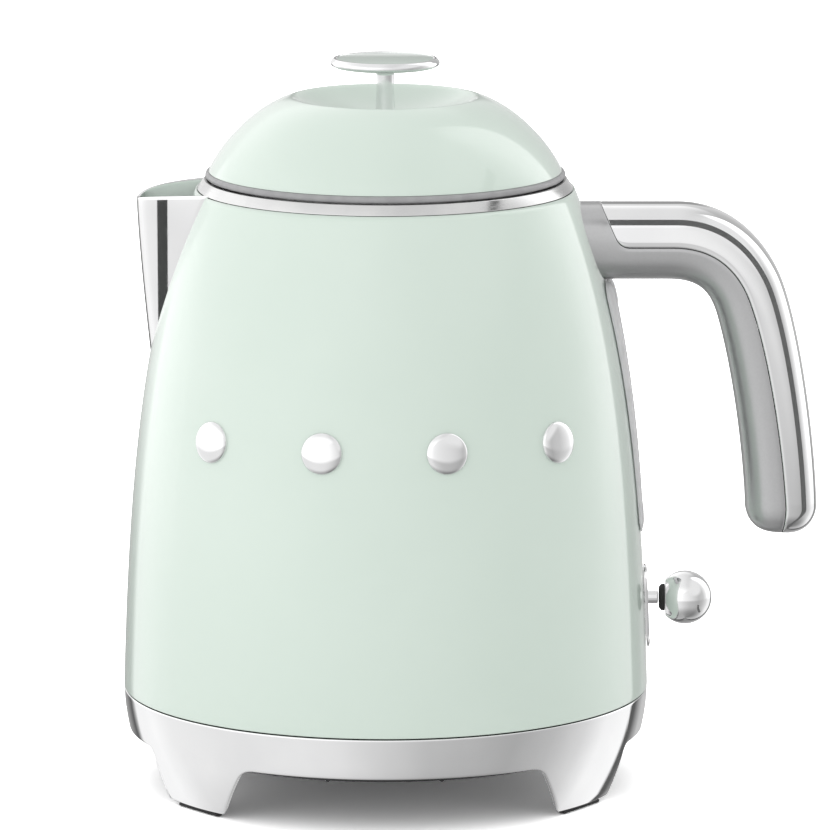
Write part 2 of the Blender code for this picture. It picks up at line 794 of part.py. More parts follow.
def handle_screws(steel):
    behind = BODY_WALL + BODY_FACET_SAG + 0.0015 + 2.5 * GAP
    for i, z in enumerate(HANDLE_SCREW_Z):
        normal = body_normal(z)
        direction = (normal.x, 0.0, normal.y)
        seat = on_body(0.0, z, -behind)
        screw_fastener(f"handle_screw_{i + 1}", 0.0030, 0.0016, 0.0016, 0.0085, seat, direction, steel)


def heater_plate(steel):
    rim_z = FLOOR_Z + 0.006
    rim_radius = body_radius(rim_z) - BODY_WALL - BODY_FACET_SAG - GAP
    radius = body_radius(FLOOR_Z) - BODY_WALL - BODY_FACET_SAG - GAP
    thickness = 0.001
    outline = [
        (0.0, FLOOR_Z + thickness),
        (radius - thickness, FLOOR_Z + thickness),
        (rim_radius - thickness, rim_z),
        (rim_radius, rim_z),
        (radius, FLOOR_Z),
        (0.0, FLOOR_Z),
    ]
    plate = turned("heater_plate", outline, steel, RING_STEPS)
    for i, (x, y) in enumerate(screw_circle(COVER_SCREW_CIRCLE)):
        bottom = COVER_Z[1] + GAP
        stud = rod(f"floor_stud_{i}", 0.0034, (x, y, bottom), (x, y, FLOOR_Z + 0.0005), None)
        combine(plate, stud, "UNION")
        combine(plate, rod(f"floor_stud_hole_{i}", 0.0017, (x, y, 0.030), (x, y, 0.045), None))
    x, y = STEAM_TUBE_AT
    combine(plate, rod("tube_hole", STEAM_TUBE_RADII[1] + GAP, (x, y, 0.060), (x, y, 0.080), None))


def heater_ring(aluminium):
    inner, outer = HEATER_RADII
    top = FLOOR_Z - GAP
    outline = [(outer, top), (outer, 0.0640), (outer - 0.003, 0.0610), (inner + 0.003, 0.0610)]
    outline += [(inner, 0.0640), (inner, top)]
    turned("heater_ring", outline, aluminium, COARSE_STEPS)
    middle = -(inner + outer) / 2
    for i, y in enumerate((-0.009, 0.009)):
        name = f"element_pin_{i + 1}"
        rod(name, 0.0018, (middle, y, 0.0500), (middle, y, 0.0610 - GAP), aluminium)


def steam_tube(steel):
    inner, outer = STEAM_TUBE_RADII
    outline = [(outer, 0.1700), (outer, 0.0620), (inner, 0.0620), (inner, 0.1700)]
    turned("steam_tube", outline, steel, SMALL_STEPS, location=(*STEAM_TUBE_AT, 0.0))


def bimetal_disc(brass):
    outline = [(0.0, 0.0602), (0.0080, 0.0597), (0.0080, 0.0592), (0.0, 0.0597)]
    turned("bimetal_disc", outline, brass, COARSE_STEPS, location=(*STEAM_TUBE_AT, 0.0))


def control_unit(plastic):
    """Block between socket and heater with a tray under the bimetal disc."""
    unit = block("control_unit", (0.046, 0.040, 0.0150), (0.0, 0.0, 0.0530), plastic)
    tray = block("control_tray", (0.060, 0.016, 0.0030), (0.029, 0.0180, 0.0572), None)
    combine(unit, tray, "UNION")


def kettle_socket(plastic):
    top, roof = 0.0450, 0.0430
    bottom = COVER_Z[0] - GAP
    outline = [
        (0.0, top),
        (SOCKET_RADIUS, top),
        (SOCKET_RADIUS, bottom),
        (SOCKET_BORE, bottom),
        (SOCKET_BORE, roof),
        (0.0, roof),
    ]
    turned("kettle_socket", outline, plastic, COARSE_STEPS)


def underside_cover(plastic):
    low, high = COVER_Z
    rim_z = low + 0.0055
    wall = high - low
    radius = body_radius(rim_z) - BODY_WALL - BODY_FACET_SAG - GAP
    outline = [
        (radius, rim_z),
        (radius, low),
        (SOCKET_RADIUS + GAP, low),
        (SOCKET_RADIUS + GAP, high),
        (radius - wall, high),
        (radius - wall, rim_z),
    ]
    cover = turned("underside_cover", outline, plastic, RING_STEPS)
    for i, (x, y) in enumerate(screw_circle(COVER_SCREW_CIRCLE)):
        combine(cover, rod(f"cover_hole_{i}", 0.0018, (x, y, 0.028), (x, y, 0.034), None))


def underside_screws(steel):
    for i, (x, y) in enumerate(screw_circle(COVER_SCREW_CIRCLE)):
        seat = (x, y, COVER_Z[0] - GAP)
        screw_fastener(f"underside_screw_{i + 1}", 0.0030, 0.0014, 0.0014, 0.013, seat, (0, 0, 1), steel)


def lever_yoke(plastic):
    """Inverted U over the lever, with an ear on each side of it."""
    x, y, z = PIVOT
    yoke = block("lever_yoke", (0.0120, 0.0176, 0.0165), (x, y, z + 0.0023), plastic)
    combine(yoke, block("yoke_channel", (0.0200, 0.0092, 0.0155), (x, y, z + 0.0002), None))
    combine(yoke, rod("yoke_bore", 0.0018, (x, -0.012, z), (x, 0.012, z), None))


def pivot_pin(steel):
    x, y, z = PIVOT
    rod("pivot_pin", 0.0015, (x, y - 0.0086, z), (x, y + 0.0086, z), steel)


def front_studs(chrome):
    crown = [(0.0, STUD_PROUD), (0.55 * STUD_RADIUS, 0.90 * STUD_PROUD), (0.88 * STUD_RADIUS, 0.62 * STUD_PROUD)]
    outline = [*crown, (STUD_RADIUS, 0.25 * STUD_PROUD), (STUD_RADIUS, 0.0), (0.0, 0.0)]
    normal = body_normal(STUD_Z)
    for i, angle in enumerate(STUD_ANGLES):
        direction = Vector((normal.x * math.cos(angle), normal.x * math.sin(angle), normal.y))
        rotation = Vector((0, 0, 1)).rotation_difference(direction)
        seat = on_body(angle, STUD_Z, GAP)
        turned(f"front_stud_{i + 1}", outline, chrome, COARSE_STEPS, location=seat, rotation=rotation)


# Switch lever and the rocker that it moves, modelled about their own pivots

def switch_arm(plastic):
    arm = block("switch_arm", (0.0220, 0.0080, 0.0080), (0.0010, 0, 0), plastic, parent=LEVER)
    combine(arm, rod("arm_bore", 0.0018, (0, -0.006, 0), (0, 0.006, 0), None, parent=LEVER))


def switch_stem(chrome):
    start = 0.0120 + GAP
    end = BALL_X - PIVOT[0] - BALL_RADIUS + 0.0002 - GAP
    rod("switch_stem", STEM_RADIUS, (start, 0, 0), (end, 0, 0), chrome, 16, parent=LEVER)


def stem_collar(rubber):
    outline = [(0.0, -0.0079), (0.0032, -0.0079), (COLLAR_OUT, -0.0071), (COLLAR_OUT, -0.0062), (0.0, -0.0062)]
    along_lever("stem_collar", outline, rubber, SMALL_STEPS)


def switch_ball(chrome):
    start = math.acos(BALL_FLAT / BALL_RADIUS)
    outline = [(0.0, -BALL_FLAT)]
    for i in range(BALL_ROWS + 1):
        angle = start + (math.pi - start) * i / BALL_ROWS
        outline.append((BALL_RADIUS * math.sin(angle), -BALL_RADIUS * math.cos(angle)))
    along_lever("switch_ball", outline, chrome, COARSE_STEPS)


def along_lever(name, outline, material, steps):
    """A turned piece whose own Z lies along the lever and whose origin is the ball's centre."""
    rotation = Vector((0, 0, 1)).rotation_difference(Vector((1, 0, 0)))
    place = (BALL_X - PIVOT[0], 0.0, 0.0)
    return turned(name, outline, material, steps, parent=LEVER, location=place, rotation=rotation)


def trip_rocker(plastic):
    rocker = block("trip_rocker", (0.0150, 0.0060, 0.0030), (0.0005, 0, 0), plastic, parent=ROCKER)
    trunnion = rod("rocker_trunnion", 0.0020, (0, -0.006, 0), (0, 0.006, 0), None, parent=ROCKER)
    combine(rocker, trunnion, "UNION")


# Lid

def lid_shell(enamel):
    dish = bezier_points(DISH_CURVE, 4)
    dome = bezier_points(DOME_CURVE, 5)
    outer = dish + dome
    inner = offset_outline(outer, -LID_WALL)
    inner[0].x = outer[0].x
    inner[-1].y = outer[-1].y
    turned("lid_shell", outer + inner[::-1], enamel)


def lid_rim(silicone):
    low, high = RIM_Z
    middle = (low + high) / 2
    inner = PLUG_RADIUS + GAP
    outline = [
        (inner, high),
        (0.0532, high),
        (0.0539, middle + 0.0004),
        (0.0539, middle - 0.0004),
        (0.0532, low),
        (inner, low),
    ]
    turned("lid_rim", outline, silicone, RING_STEPS)


def lid_liner(steel):
    wall = 0.0012
    top = RIM_Z[1] - 0.0002
    outline = [
        (0.0, PLUG_BOTTOM_Z + wall),
        (PLUG_RADIUS - wall, PLUG_BOTTOM_Z + wall),
        (PLUG_RADIUS - wall, top),
        (PLUG_RADIUS, top),
        (PLUG_RADIUS, PLUG_BOTTOM_Z),
        (0.0, PLUG_BOTTOM_Z),
    ]
    turned("lid_liner", outline, steel, RING_STEPS)


def lid_seal(silicone):
    outline = [(0.0530, 0.1822), (0.0530, 0.1806), (0.0509, 0.1796), (0.0509, 0.1832)]
    turned("lid_seal", outline, silicone, RING_STEPS)


def knob_stem(chrome):
    bottom = STEM_FOOT_Z
    top = KNOB_Z[0] - GAP
    outline = [
        (0.0, top),
        (0.0029, top),
        (0.0026, top - 0.0016),
        (0.0026, 0.2110),
        (0.0031, 0.2045),
        (0.0036, bottom),
        (STEM_BORE, bottom),
        (STEM_BORE, 0.2110),
        (0.0, 0.2110),
    ]
    turned("knob_stem", outline, chrome, SMALL_STEPS)


def knob_disc(chrome):
    low, high = KNOB_Z
    edge = (low + high) / 2
    recess = 0.0008
    outline = [
        (0.0, high - recess),
        (INSET_RADIUS + GAP, high - recess),
        (INSET_RADIUS + GAP, high),
        (KNOB_RADIUS - 0.0009, high),
        (KNOB_RADIUS, edge + 0.0006),
        (KNOB_RADIUS, edge - 0.0004),
        (KNOB_RADIUS - 0.0012, low + 0.0003),
        (0.0080, low),
        (0.0, low),
    ]
    turned("knob_disc", outline, chrome, COARSE_STEPS)


def knob_inset(enamel):
    top = KNOB_Z[1]
    bottom = top - 0.0008 + GAP
    outline = [(0.0, top - 0.0002), (INSET_RADIUS, top), (INSET_RADIUS, bottom), (0.0, bottom)]
    turned("knob_inset", outline, enamel, COARSE_STEPS)


def knob_screw(steel):
    seat = (0.0, 0.0, DISH_CURVE[0][1] - LID_WALL - GAP)
    screw_fastener("knob_screw", 0.0042, 0.0018, 0.0018, 0.0090, seat, (0, 0, 1), steel)


def build():
    enamel = mint_enamel()
    chrome = polished_chrome()
    grey = satin_grey_plastic()
    frosted = frosted_plastic()
    dark = dark_plastic()
    rubber = black_rubber()
    silicone = grey_silicone()
    clear = clear_plastic()
    steel = vessel_steel()
    aluminium = cast_aluminium()
    brass = contact_brass()

    base_skirt(chrome)
    base_deck(grey)
    base_pan(dark)
    base_screws(steel)
    cord_grommet(rubber)
    foot_pads(rubber)
    base_connector(dark)
    base_contacts(brass)
    connector_shutter(dark)

    body_shell(enamel)
    neck_band(steel)
    spout(chrome)
    window_frame(frosted)
    water_window(clear)
    lever_plate(chrome)
    handle_core(grey)
    handle_cover(chrome)
    handle_backplate(steel)
    handle_screws(steel)
    heater_plate(steel)
    heater_ring(aluminium)
    steam_tube(steel)
    bimetal_disc(brass)
    control_unit(dark)
    kettle_socket(dark)
    underside_cover(dark)
    underside_screws(steel)
    lever_yoke(dark)
    pivot_pin(steel)
    front_studs(chrome)
    filter_frame(grey)
    filter_mesh(steel)

    switch_arm(dark)
    switch_stem(chrome)
    stem_collar(rubber)
    switch_ball(chrome)
    trip_rocker(dark)

    lid_shell(enamel)
    lid_rim(silicone)
    lid_liner(steel)
    lid_seal(silicone)
    knob_stem(chrome)
    knob_disc(chrome)
    knob_inset(enamel)
    knob_screw(steel)


clear_scene()
PARTS = make_collection("retro_electric_kettle")
CUTTERS = make_collection("cutters")
AXIS = make_empty("kettle_axis", (AXIS_X, 0.0, 0.0))
LEVER = make_empty("lever_pivot", PIVOT, AXIS)
ROCKER = make_empty("rocker_pivot", ROCKER_PIVOT, AXIS)
build()
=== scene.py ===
"""Looks of the compact retro electric kettle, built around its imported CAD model.

Every piece is made about the kettle's turning axis and then set on it. +X points to the handle,
-X to the spout and -Y to the front, in metres.
"""

import json
import math

import bmesh
import bpy
from mathutils import Matrix, Vector


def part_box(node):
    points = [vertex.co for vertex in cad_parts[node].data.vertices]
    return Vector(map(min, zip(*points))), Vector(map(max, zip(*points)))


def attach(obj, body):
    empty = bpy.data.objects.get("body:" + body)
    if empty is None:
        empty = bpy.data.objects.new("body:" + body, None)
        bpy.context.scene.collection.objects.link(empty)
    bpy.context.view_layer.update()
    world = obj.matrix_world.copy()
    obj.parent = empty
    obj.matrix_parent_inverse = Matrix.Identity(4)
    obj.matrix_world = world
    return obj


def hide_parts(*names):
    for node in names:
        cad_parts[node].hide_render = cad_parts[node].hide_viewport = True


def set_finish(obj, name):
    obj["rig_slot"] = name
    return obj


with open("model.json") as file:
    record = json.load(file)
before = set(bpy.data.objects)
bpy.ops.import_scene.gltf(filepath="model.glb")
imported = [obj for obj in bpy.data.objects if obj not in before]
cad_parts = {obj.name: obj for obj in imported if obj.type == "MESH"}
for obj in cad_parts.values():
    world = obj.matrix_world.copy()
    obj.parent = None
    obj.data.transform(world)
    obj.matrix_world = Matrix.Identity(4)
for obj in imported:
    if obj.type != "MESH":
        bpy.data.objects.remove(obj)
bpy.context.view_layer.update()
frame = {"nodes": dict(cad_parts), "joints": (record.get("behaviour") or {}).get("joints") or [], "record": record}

RECORD = frame["record"]
JOINTS = {joint["name"]: joint for joint in frame["joints"]}
BODY_OF = {node: body for body, nodes in RECORD["behaviour"]["bodies"].items() for node in nodes}
SLOT_OF = {part["node"]: part["material_slot"] for part in RECORD["subparts"]}
AXIS = Vector((JOINTS["base_swivel"]["pos_m"][0], 0.0, 0.0))
LEVER = Vector(JOINTS["switch_lever"]["pos_m"])

FINE = 192
ROUND = 96
SMALL = 48
SAME_POINT = 0.000001

# Painted body: outer side as a cubic curve of (radius, height) points, neck to foot
BODY_CURVE = ((0.05678, 0.18126), (0.07233, 0.1431), (0.07736, 0.09836), (0.07928, 0.0298))
BODY_WALL = 0.0010
BODY_EDGE_ROUND = 0.0006
INSIDE_GAP = 0.0005
PORT_COLUMNS = 5
PORT_Z = (0.1500, 0.1730)
WINDOW_COLUMNS = 2
WINDOW_SLOT_Z = (0.0852, 0.1458)
LEVER_COLUMNS = 1
LEVER_SLOT_Z = (0.0484, 0.0588)

# Power base
SKIRT_TOP_RADIUS = 0.0792
SKIRT_EDGE_Z = 0.0171
SKIRT_WALL = 0.0026
SKIRT_LEAN = 0.0074
SKIRT_LEAN_POWER = 1.8
BASE_TURN = 2.0
SKIRT_EDGE_ROUND = 0.00035
COLUMN_LENGTH = 0.0009
COLUMN_ANGLE = math.radians(1.8)
FOOT_ANGLES = tuple(math.radians(a + BASE_TURN) for a in (36.5, 143.5, 216.5, 323.5))
FOOT_OUTER = (-0.0169, -0.0156)
FOOT_INNER = (0.0140, 0.0252)
FOOT_SOLE_ROUND = 0.0012
FOOT_ROOT_ROUND = (0.0030, 0.0048)
PAD_CIRCLE = 0.0703
PAD_SIZE = (0.0024, 0.0190)
CORD_OUTLET = (0.0, 0.0693, 0.0192)

# Screws as (head radius, head length, shank radius, length), and the circles they stand on
BASE_SCREW = (0.0030, 0.0014, 0.0014, 0.0080)
COVER_SCREW = (0.0030, 0.0014, 0.0014, 0.0130)
HANDLE_SCREW = (0.0030, 0.0016, 0.0016, 0.0085)
KNOB_SCREW = (0.0042, 0.0018, 0.0018, 0.0090)
BASE_SCREW_CIRCLE = 0.0550
COVER_SCREW_CIRCLE = 0.0620
HANDLE_SCREW_Z = (0.1580, 0.1660)
HANDLE_SCREW_SINK = 0.0035

# Spout
SPOUT_TIP_X = -0.0746
SPOUT_TIP_Z = 0.1784
SPOUT_RIM_RISE = 0.182
SPOUT_NOSE_RADIUS = 0.0015
SPOUT_BOTTOM_Z = 0.1260
SPOUT_LEAN = 0.0045
SPOUT_SPREAD = 0.0262
SPOUT_CURL = 0.0241
SPOUT_HALF_WIDTH = 0.0205
SPOUT_WALL = 0.0010
FILTER_Z = (0.1380, 0.1750)
FILTER_HALF_WIDTH = 0.0170
STEAM_TUBE_PLACE = (0.0507, 0.0185, 0.0)

# Handle: (x, z) curves of its inner and outer edges in the bend and the drop, and the seam between
# its chrome cover and grey core as a share of the height from the inner edge to the outer one
HANDLE_HALF_WIDTH = 0.0125
HANDLE_LOW_Z = 0.1540
HANDLE_TOP_Z = 0.1769
BEND_INNER = ((0.0847, 0.1540), (0.0952, 0.1540), (0.0979, 0.1494), (0.1001, 0.1414))
BEND_OUTER = ((0.0879, 0.1769), (0.1070, 0.1769), (0.1163, 0.1608), (0.1190, 0.1539))
DROP_INNER = ((0.1001, 0.1414), (0.1040, 0.1272), (0.1074, 0.1057), (0.1085, 0.0860))
DROP_OUTER = ((0.1190, 0.1539), (0.1248, 0.1392), (0.12965, 0.1041), (0.13012, 0.0847))
COVER_START = (0.0647, 0.1769)
SEAM_Z = 0.16485
SEAM_CORNER_X = 0.0702
SEAM_ARM = (SEAM_Z - HANDLE_LOW_Z) / (HANDLE_TOP_Z - HANDLE_LOW_Z)
SEAM_BEND_END = 0.49
SEAM_TIP = 0.55
SEAM_GAP = 0.00034
SEAM_CLOSED = 0.00004
SEAM_DEPTH = 0.0007
SEAM_EASE = 0.00028
SECTION_POWER = 2.6
TIP_DEPTH = 0.0083
TIP_ROUND = 0.0070
BOSS_CHAMFER = 0.0018
SECTION_STEPS = 25
# The section's width at the seam's edge and just inside it, and how far inside that is
EDGE_PULL = 0.976
NEAR_EDGE_PULL = 0.9872
NEAR_EDGE = 0.2

# Lid
DOME_CURVE = ((0.0290, 0.2088), (0.0408, 0.2050), (0.0505, 0.1928), (0.0529, 0.1867))
DISH_CURVE = ((0.0026, 0.2017), (0.0120, 0.2017), (0.0210, 0.2045), (0.0272, 0.2087))
LID_WALL = 0.0009
RIM_RADIUS = 0.0530
RIM_ROOT = 0.0509
PLUG_RADIUS = 0.0506
PLUG_BOTTOM_Z = 0.1785
KNOB_RADIUS = 0.01635
INSET_RADIUS = 0.0144

# Switch lever
BALL_RADIUS = 0.0081
BALL_FLAT = 0.0059
STEM_RADIUS = 0.00195
BALL_OUT = 0.0906 - (LEVER.x - AXIS.x)

# Front studs
STUD_ANGLES = tuple(math.radians(a) for a in (-133.8, -104.4, -75.6, -46.2))
STUD_Z = 0.1135
STUD_RADIUS = 0.0062
STUD_PROUD = 0.0020


# Curves and outlines

def bezier(curve, t):
    """Point of a cubic curve given by four control points."""
    a, b, c, d = (Vector(point) for point in curve)
    s = 1.0 - t
    return a * s**3 + b * (3 * s * s * t) + c * (3 * s * t * t) + d * t**3


def bezier_points(curve, count):
    return [bezier(curve, i / (count - 1)) for i in range(count)]


def arc(centre, radius, start, end, count):
    """Points of a circle between two angles in degrees."""
    points = []
    for i in range(count):
        angle = math.radians(start + (end - start) * i / (count - 1))
        across, up = radius * math.cos(angle), radius * math.sin(angle)
        points.append(Vector((centre[0] + across, centre[1] + up)))
    return points


def rounded(points, reach, closed=True, steps=4):
    """The outline with its corners rounded. Turns under 20 degrees are left alone."""
    points = [Vector(point) for point in points]
    result = []
    for i, point in enumerate(points):
        back = points[i - 1] - point
        ahead = points[(i + 1) % len(points)] - point
        at_end = not closed and i in (0, len(points) - 1)
        if at_end or back.angle(-ahead) < math.radians(20):
            result.append(point)
            continue
        cut = min(reach, 0.45 * back.length, 0.45 * ahead.length)
        start = point + back.normalized() * cut
        end = point + ahead.normalized() * cut
        for k in range(steps + 1):
            t = k / steps
            result.append(start * (1 - t) ** 2 + point * (2 * t * (1 - t)) + end * t**2)
    return result


def offset_outline(points, distance):
    """The outline moved sideways, to the left of its direction of travel."""
    moved = []
    for i, point in enumerate(points):
        along = (points[min(i + 1, len(points) - 1)] - points[max(i - 1, 0)]).normalized()
        moved.append(point + Vector((-along.y, along.x)) * distance)
    return moved


def smooth_step(t):
    t = min(max(t, 0.0), 1.0)
    return t * t * (3 - 2 * t)


def halve(low, high, above):
    """Where a test that is true at low turns false on the way to high."""
    for _ in range(40):
        middle = (low + high) / 2
        if above(middle):
            low = middle
        else:
            high = middle
    return (low + high) / 2


def body_parameter(z):
    return halve(-0.2, 1.2, lambda t: bezier(BODY_CURVE, t).y > z)


def body_radius(z):
    return bezier(BODY_CURVE, body_parameter(z)).x


def body_normal(z):
    """Outward normal of the body side as (radial, vertical)."""
    step = 0.0005
    slope = (body_radius(z + step) - body_radius(z - step)) / (2 * step)
    return Vector((1.0, -slope)).normalized()


def on_body(angle, z, offset):
    """Point at a distance outside the painted surface."""
    normal = body_normal(z)
    radius = body_radius(z) + normal.x * offset
    return Vector((radius * math.cos(angle), radius * math.sin(angle), z + normal.y * offset))


# Meshes

def span(node):
    """Lowest and highest z of a CAD node."""
    low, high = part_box(node)
    return low.z, high.z


def surface(rows, wrap_rows=False, wrap_points=False, caps=False, keep=None, dark=None):
    """Four-sided faces between rows of points of equal length. keep and dark say by row and column
    which faces are made, and which of them take the second material."""
    shape = bmesh.new()
    grid = [[shape.verts.new(point) for point in row] for row in rows]
    for i in range(len(grid) - (not wrap_rows)):
        first, after = grid[i], grid[(i + 1) % len(grid)]
        for j in range(len(first) - (not wrap_points)):
            k = (j + 1) % len(first)
            if keep is None or keep(i, j):
                face = shape.faces.new((first[j], first[k], after[k], after[j]))
                face.material_index = int(dark is not None and dark(i, j))
    if caps:
        shape.faces.new(grid[0])
        shape.faces.new(grid[-1])
    bmesh.ops.remove_doubles(shape, verts=shape.verts, dist=SAME_POINT)
    return shape


def made(name, shape, material, sharp=40):
    """A smooth-shaded object from a shape, set on the kettle's axis."""
    bmesh.ops.recalc_face_normals(shape, faces=shape.faces)
    mesh = bpy.data.meshes.new(name)
    shape.to_mesh(mesh)
    shape.free()
    mesh.shade_smooth()
    mesh.set_sharp_from_angle(angle=math.radians(sharp))
    mesh.materials.append(material)
    obj = bpy.data.objects.new(name, mesh)
    obj.location = AXIS
    bpy.context.scene.collection.objects.link(obj)
    return obj


def stand_for(obj, node):
    """The piece takes the place, the body and the slot of its CAD node."""
    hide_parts(node)
    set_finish(obj, SLOT_OF[node])
    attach(obj, BODY_OF[node])
    return obj


def piece(node, word, shape, sharp=40, pose=None):
    """The piece that stands for one CAD node, with an optional place and direction."""
    obj = made(f"{node}_{word}", shape, finish_of(node), sharp)
    if pose is not None:
        pose_at(obj, *pose)
    return stand_for(obj, node)


def kept_out_of_the_paint(obj):
    """The glossy side shows the studio but not this piece, as in the retouched photograph."""
    obj.visible_glossy = False


def turned_shape(outline, steps=FINE):
    """A solid of revolution about Z. The outline is closed, or starts and ends on the axis."""
    outline = [Vector(point) for point in outline]
    on_axis = outline[0].x < 1e-6 and outline[-1].x < 1e-6
    rows = []
    for i in range(steps):
        angle = math.tau * i / steps
        rows.append([(p.x * math.cos(angle), p.x * math.sin(angle), p.y) for p in outline])
    return surface(rows, wrap_rows=True, wrap_points=not on_axis)


def rod(radius, low, high):
    """Outline of a solid rod, from its top down."""
    return [(0.0, high), (radius, high), (radius, low), (0.0, low)]


def tube(outer, inner, low, high):
    """Outline of a plain tube, from its top down."""
    return [(outer, high), (outer, low), (inner, low), (inner, high)]


def turned(node, word, outline, steps=FINE, edge=0.0003, pose=None):
    """A solid of revolution with softened corners, as a piece."""
    on_axis = outline[0][0] < 1e-6 and outline[-1][0] < 1e-6
    return piece(node, word, turned_shape(rounded(outline, edge, not on_axis), steps), 40, pose)


def pose_at(obj, location, direction):
    """Turns a piece made along Z to a direction and sets it at a point about the kettle's axis."""
    obj.location = AXIS + Vector(location)
    obj.rotation_mode = "QUATERNION"
    obj.rotation_quaternion = Vector((0, 0, 1)).rotation_difference(Vector(direction))
    return obj


def block_shape(size, centre=(0, 0, 0), edge=0.0006, segments=3):
    """A box with rounded edges."""
    shape = bmesh.new()
    bmesh.ops.create_cube(shape, size=1.0)
    bmesh.ops.scale(shape, vec=size, verts=shape.verts)
    edges = list(shape.edges)
    bmesh.ops.bevel(shape, geom=edges, offset=edge, segments=segments, profile=0.5, affect="EDGES")
    bmesh.ops.translate(shape, vec=centre, verts=shape.verts)
    return shape


def tube_rows(points, radius, sides):
    """Rings round a line of points, each square to the line."""
    rows = []
    for i, point in enumerate(points):
        along = (points[min(i + 1, len(points) - 1)] - points[max(i - 1, 0)]).normalized()
        side = along.cross(Vector((0.0, 0.0, 1.0)) if abs(along.z) < 0.9 else Vector((1.0, 0.0, 0.0)))
        side.normalize()
        up = side.cross(along)
        ring = []
        for k in range(sides):
            angle = math.tau * k / sides
            ring.append(point + side * (radius * math.cos(angle)) + up * (radius * math.sin(angle)))
        rows.append(ring)
    return rows


def joined(shapes):
    """Several shapes in one mesh."""
    whole = bmesh.new()
    for shape in shapes:
        mesh = bpy.data.meshes.new("part")
        shape.to_mesh(mesh)
        shape.free()
        whole.from_mesh(mesh)
        bpy.data.meshes.remove(mesh)
    return whole


# Materials

class Finish:
    """A Principled material with the node set-ups that the finishes share. The numbers that end a call
    of tint, wear or relief are those of its noise: scale, detail and, where it is drawn out, stretch."""

    def __init__(self, name, colour, metallic=0.0, roughness=0.4, **sockets):
        self.material = bpy.data.materials.new(name)
        self.material.use_nodes = True
        self.nodes = self.material.node_tree.nodes
        self.links = self.material.node_tree.links
        self.shader = self.nodes["Principled BSDF"]
        self.set("Base Color", (*colour, 1.0))
        self.set("Metallic", metallic)
        self.set("Roughness", roughness)
        for socket, value in sockets.items():
            self.set(socket.replace("_", " "), value)
        self.place = self.nodes.new("ShaderNodeTexCoord").outputs["Object"]

    def set(self, socket, value):
        self.shader.inputs[socket].default_value = value

    def noise(self, scale, detail=2.0, stretch=(1, 1, 1)):
        """Noise in the piece's own metres. Stretch multiplies its scale along each axis."""
        mapping = self.nodes.new("ShaderNodeMapping")
        mapping.inputs["Scale"].default_value = stretch
        texture = self.nodes.new("ShaderNodeTexNoise")
        texture.inputs["Scale"].default_value = scale
        texture.inputs["Detail"].default_value = detail
        self.links.new(self.place, mapping.inputs["Vector"])
        self.links.new(mapping.outputs["Vector"], texture.inputs["Vector"])
        return texture.outputs["Fac"]

    def spread(self, value, low, high, first=0.35, last=0.65):
        """Maps the middle of a noise to a range."""
        node = self.nodes.new("ShaderNodeMapRange")
        numbers = {"From Min": first, "From Max": last, "To Min": low, "To Max": high}
        for socket, number in numbers.items():
            node.inputs[socket].default_value = number
        self.links.new(value, node.inputs["Value"])
        return node.outputs["Result"]

    def tint(self, first, second, *noise):
        """Base colour between two colours."""
        value = self.noise(*noise)
        node = self.nodes.new("ShaderNodeMix")
        node.data_type = "RGBA"
        node.inputs[6].default_value = (*first, 1.0)
        node.inputs[7].default_value = (*second, 1.0)
        self.links.new(self.spread(value, 0.0, 1.0), node.inputs["Factor"])
        self.links.new(node.outputs[2], self.shader.inputs["Base Color"])

    def wear(self, low, high, *noise):
        """Roughness between two values."""
        self.links.new(self.spread(self.noise(*noise), low, high), self.shader.inputs["Roughness"])

    def relief(self, height, strength, *noise):
        """Bump of a height in metres."""
        value = self.noise(*noise)
        node = self.nodes.new("ShaderNodeBump")
        node.inputs["Strength"].default_value = strength
        node.inputs["Distance"].default_value = height
        self.links.new(value, node.inputs["Height"])
        self.links.new(node.outputs["Normal"], self.shader.inputs["Normal"])


def mint_enamel():
    """Pastel green enamel under a clear gloss, slightly uneven in tint, with a trace of orange peel."""
    f = Finish("mint_enamel", (0.633, 0.734, 0.661), 0.0, 0.32, Coat_Weight=1.0, Coat_Roughness=0.015)
    f.tint((0.628, 0.730, 0.656), (0.640, 0.740, 0.667), 28.0, 3.0)
    f.wear(0.28, 0.38, 900.0, 2.0)
    f.relief(0.0000015, 1.0, 420.0, 1.0)
    return f.material


def polished_chrome():
    """Bright plating with faint wiping haze."""
    f = Finish("polished_chrome", (0.83, 0.83, 0.835), 1.0, 0.05)
    f.tint((0.815, 0.815, 0.820), (0.845, 0.845, 0.848), 60.0, 3.0)
    f.wear(0.035, 0.085, 140.0, 4.0)
    return f.material


def satin_grey_plastic():
    """Grey metallic-look plastic with a fine moulded grain."""
    f = Finish("satin_grey_plastic", (0.50, 0.50, 0.505), 0.85, 0.30)
    f.tint((0.502, 0.502, 0.507), (0.518, 0.518, 0.523), 1500.0, 2.0)
    f.wear(0.28, 0.34, 700.0, 3.0)
    f.relief(0.000002, 0.5, 2600.0, 2.0)
    return f.material


def frosted_plastic():
    """Pearly half-translucent moulding."""
    f = Finish("frosted_plastic", (0.82, 0.82, 0.83), 0.0, 0.18, Transmission_Weight=0.35, IOR=1.47)
    f.tint((0.80, 0.80, 0.81), (0.86, 0.86, 0.87), 220.0, 2.0)
    f.wear(0.14, 0.22, 900.0, 2.0)
    return f.material


def dark_plastic():
    """Matt black moulding with a spark-eroded texture."""
    f = Finish("dark_plastic", (0.028, 0.028, 0.030), 0.0, 0.5)
    f.tint((0.022, 0.022, 0.024), (0.036, 0.036, 0.038), 500.0, 3.0)
    f.wear(0.42, 0.58, 900.0, 3.0)
    f.relief(0.00002, 0.6, 3200.0, 2.0)
    return f.material


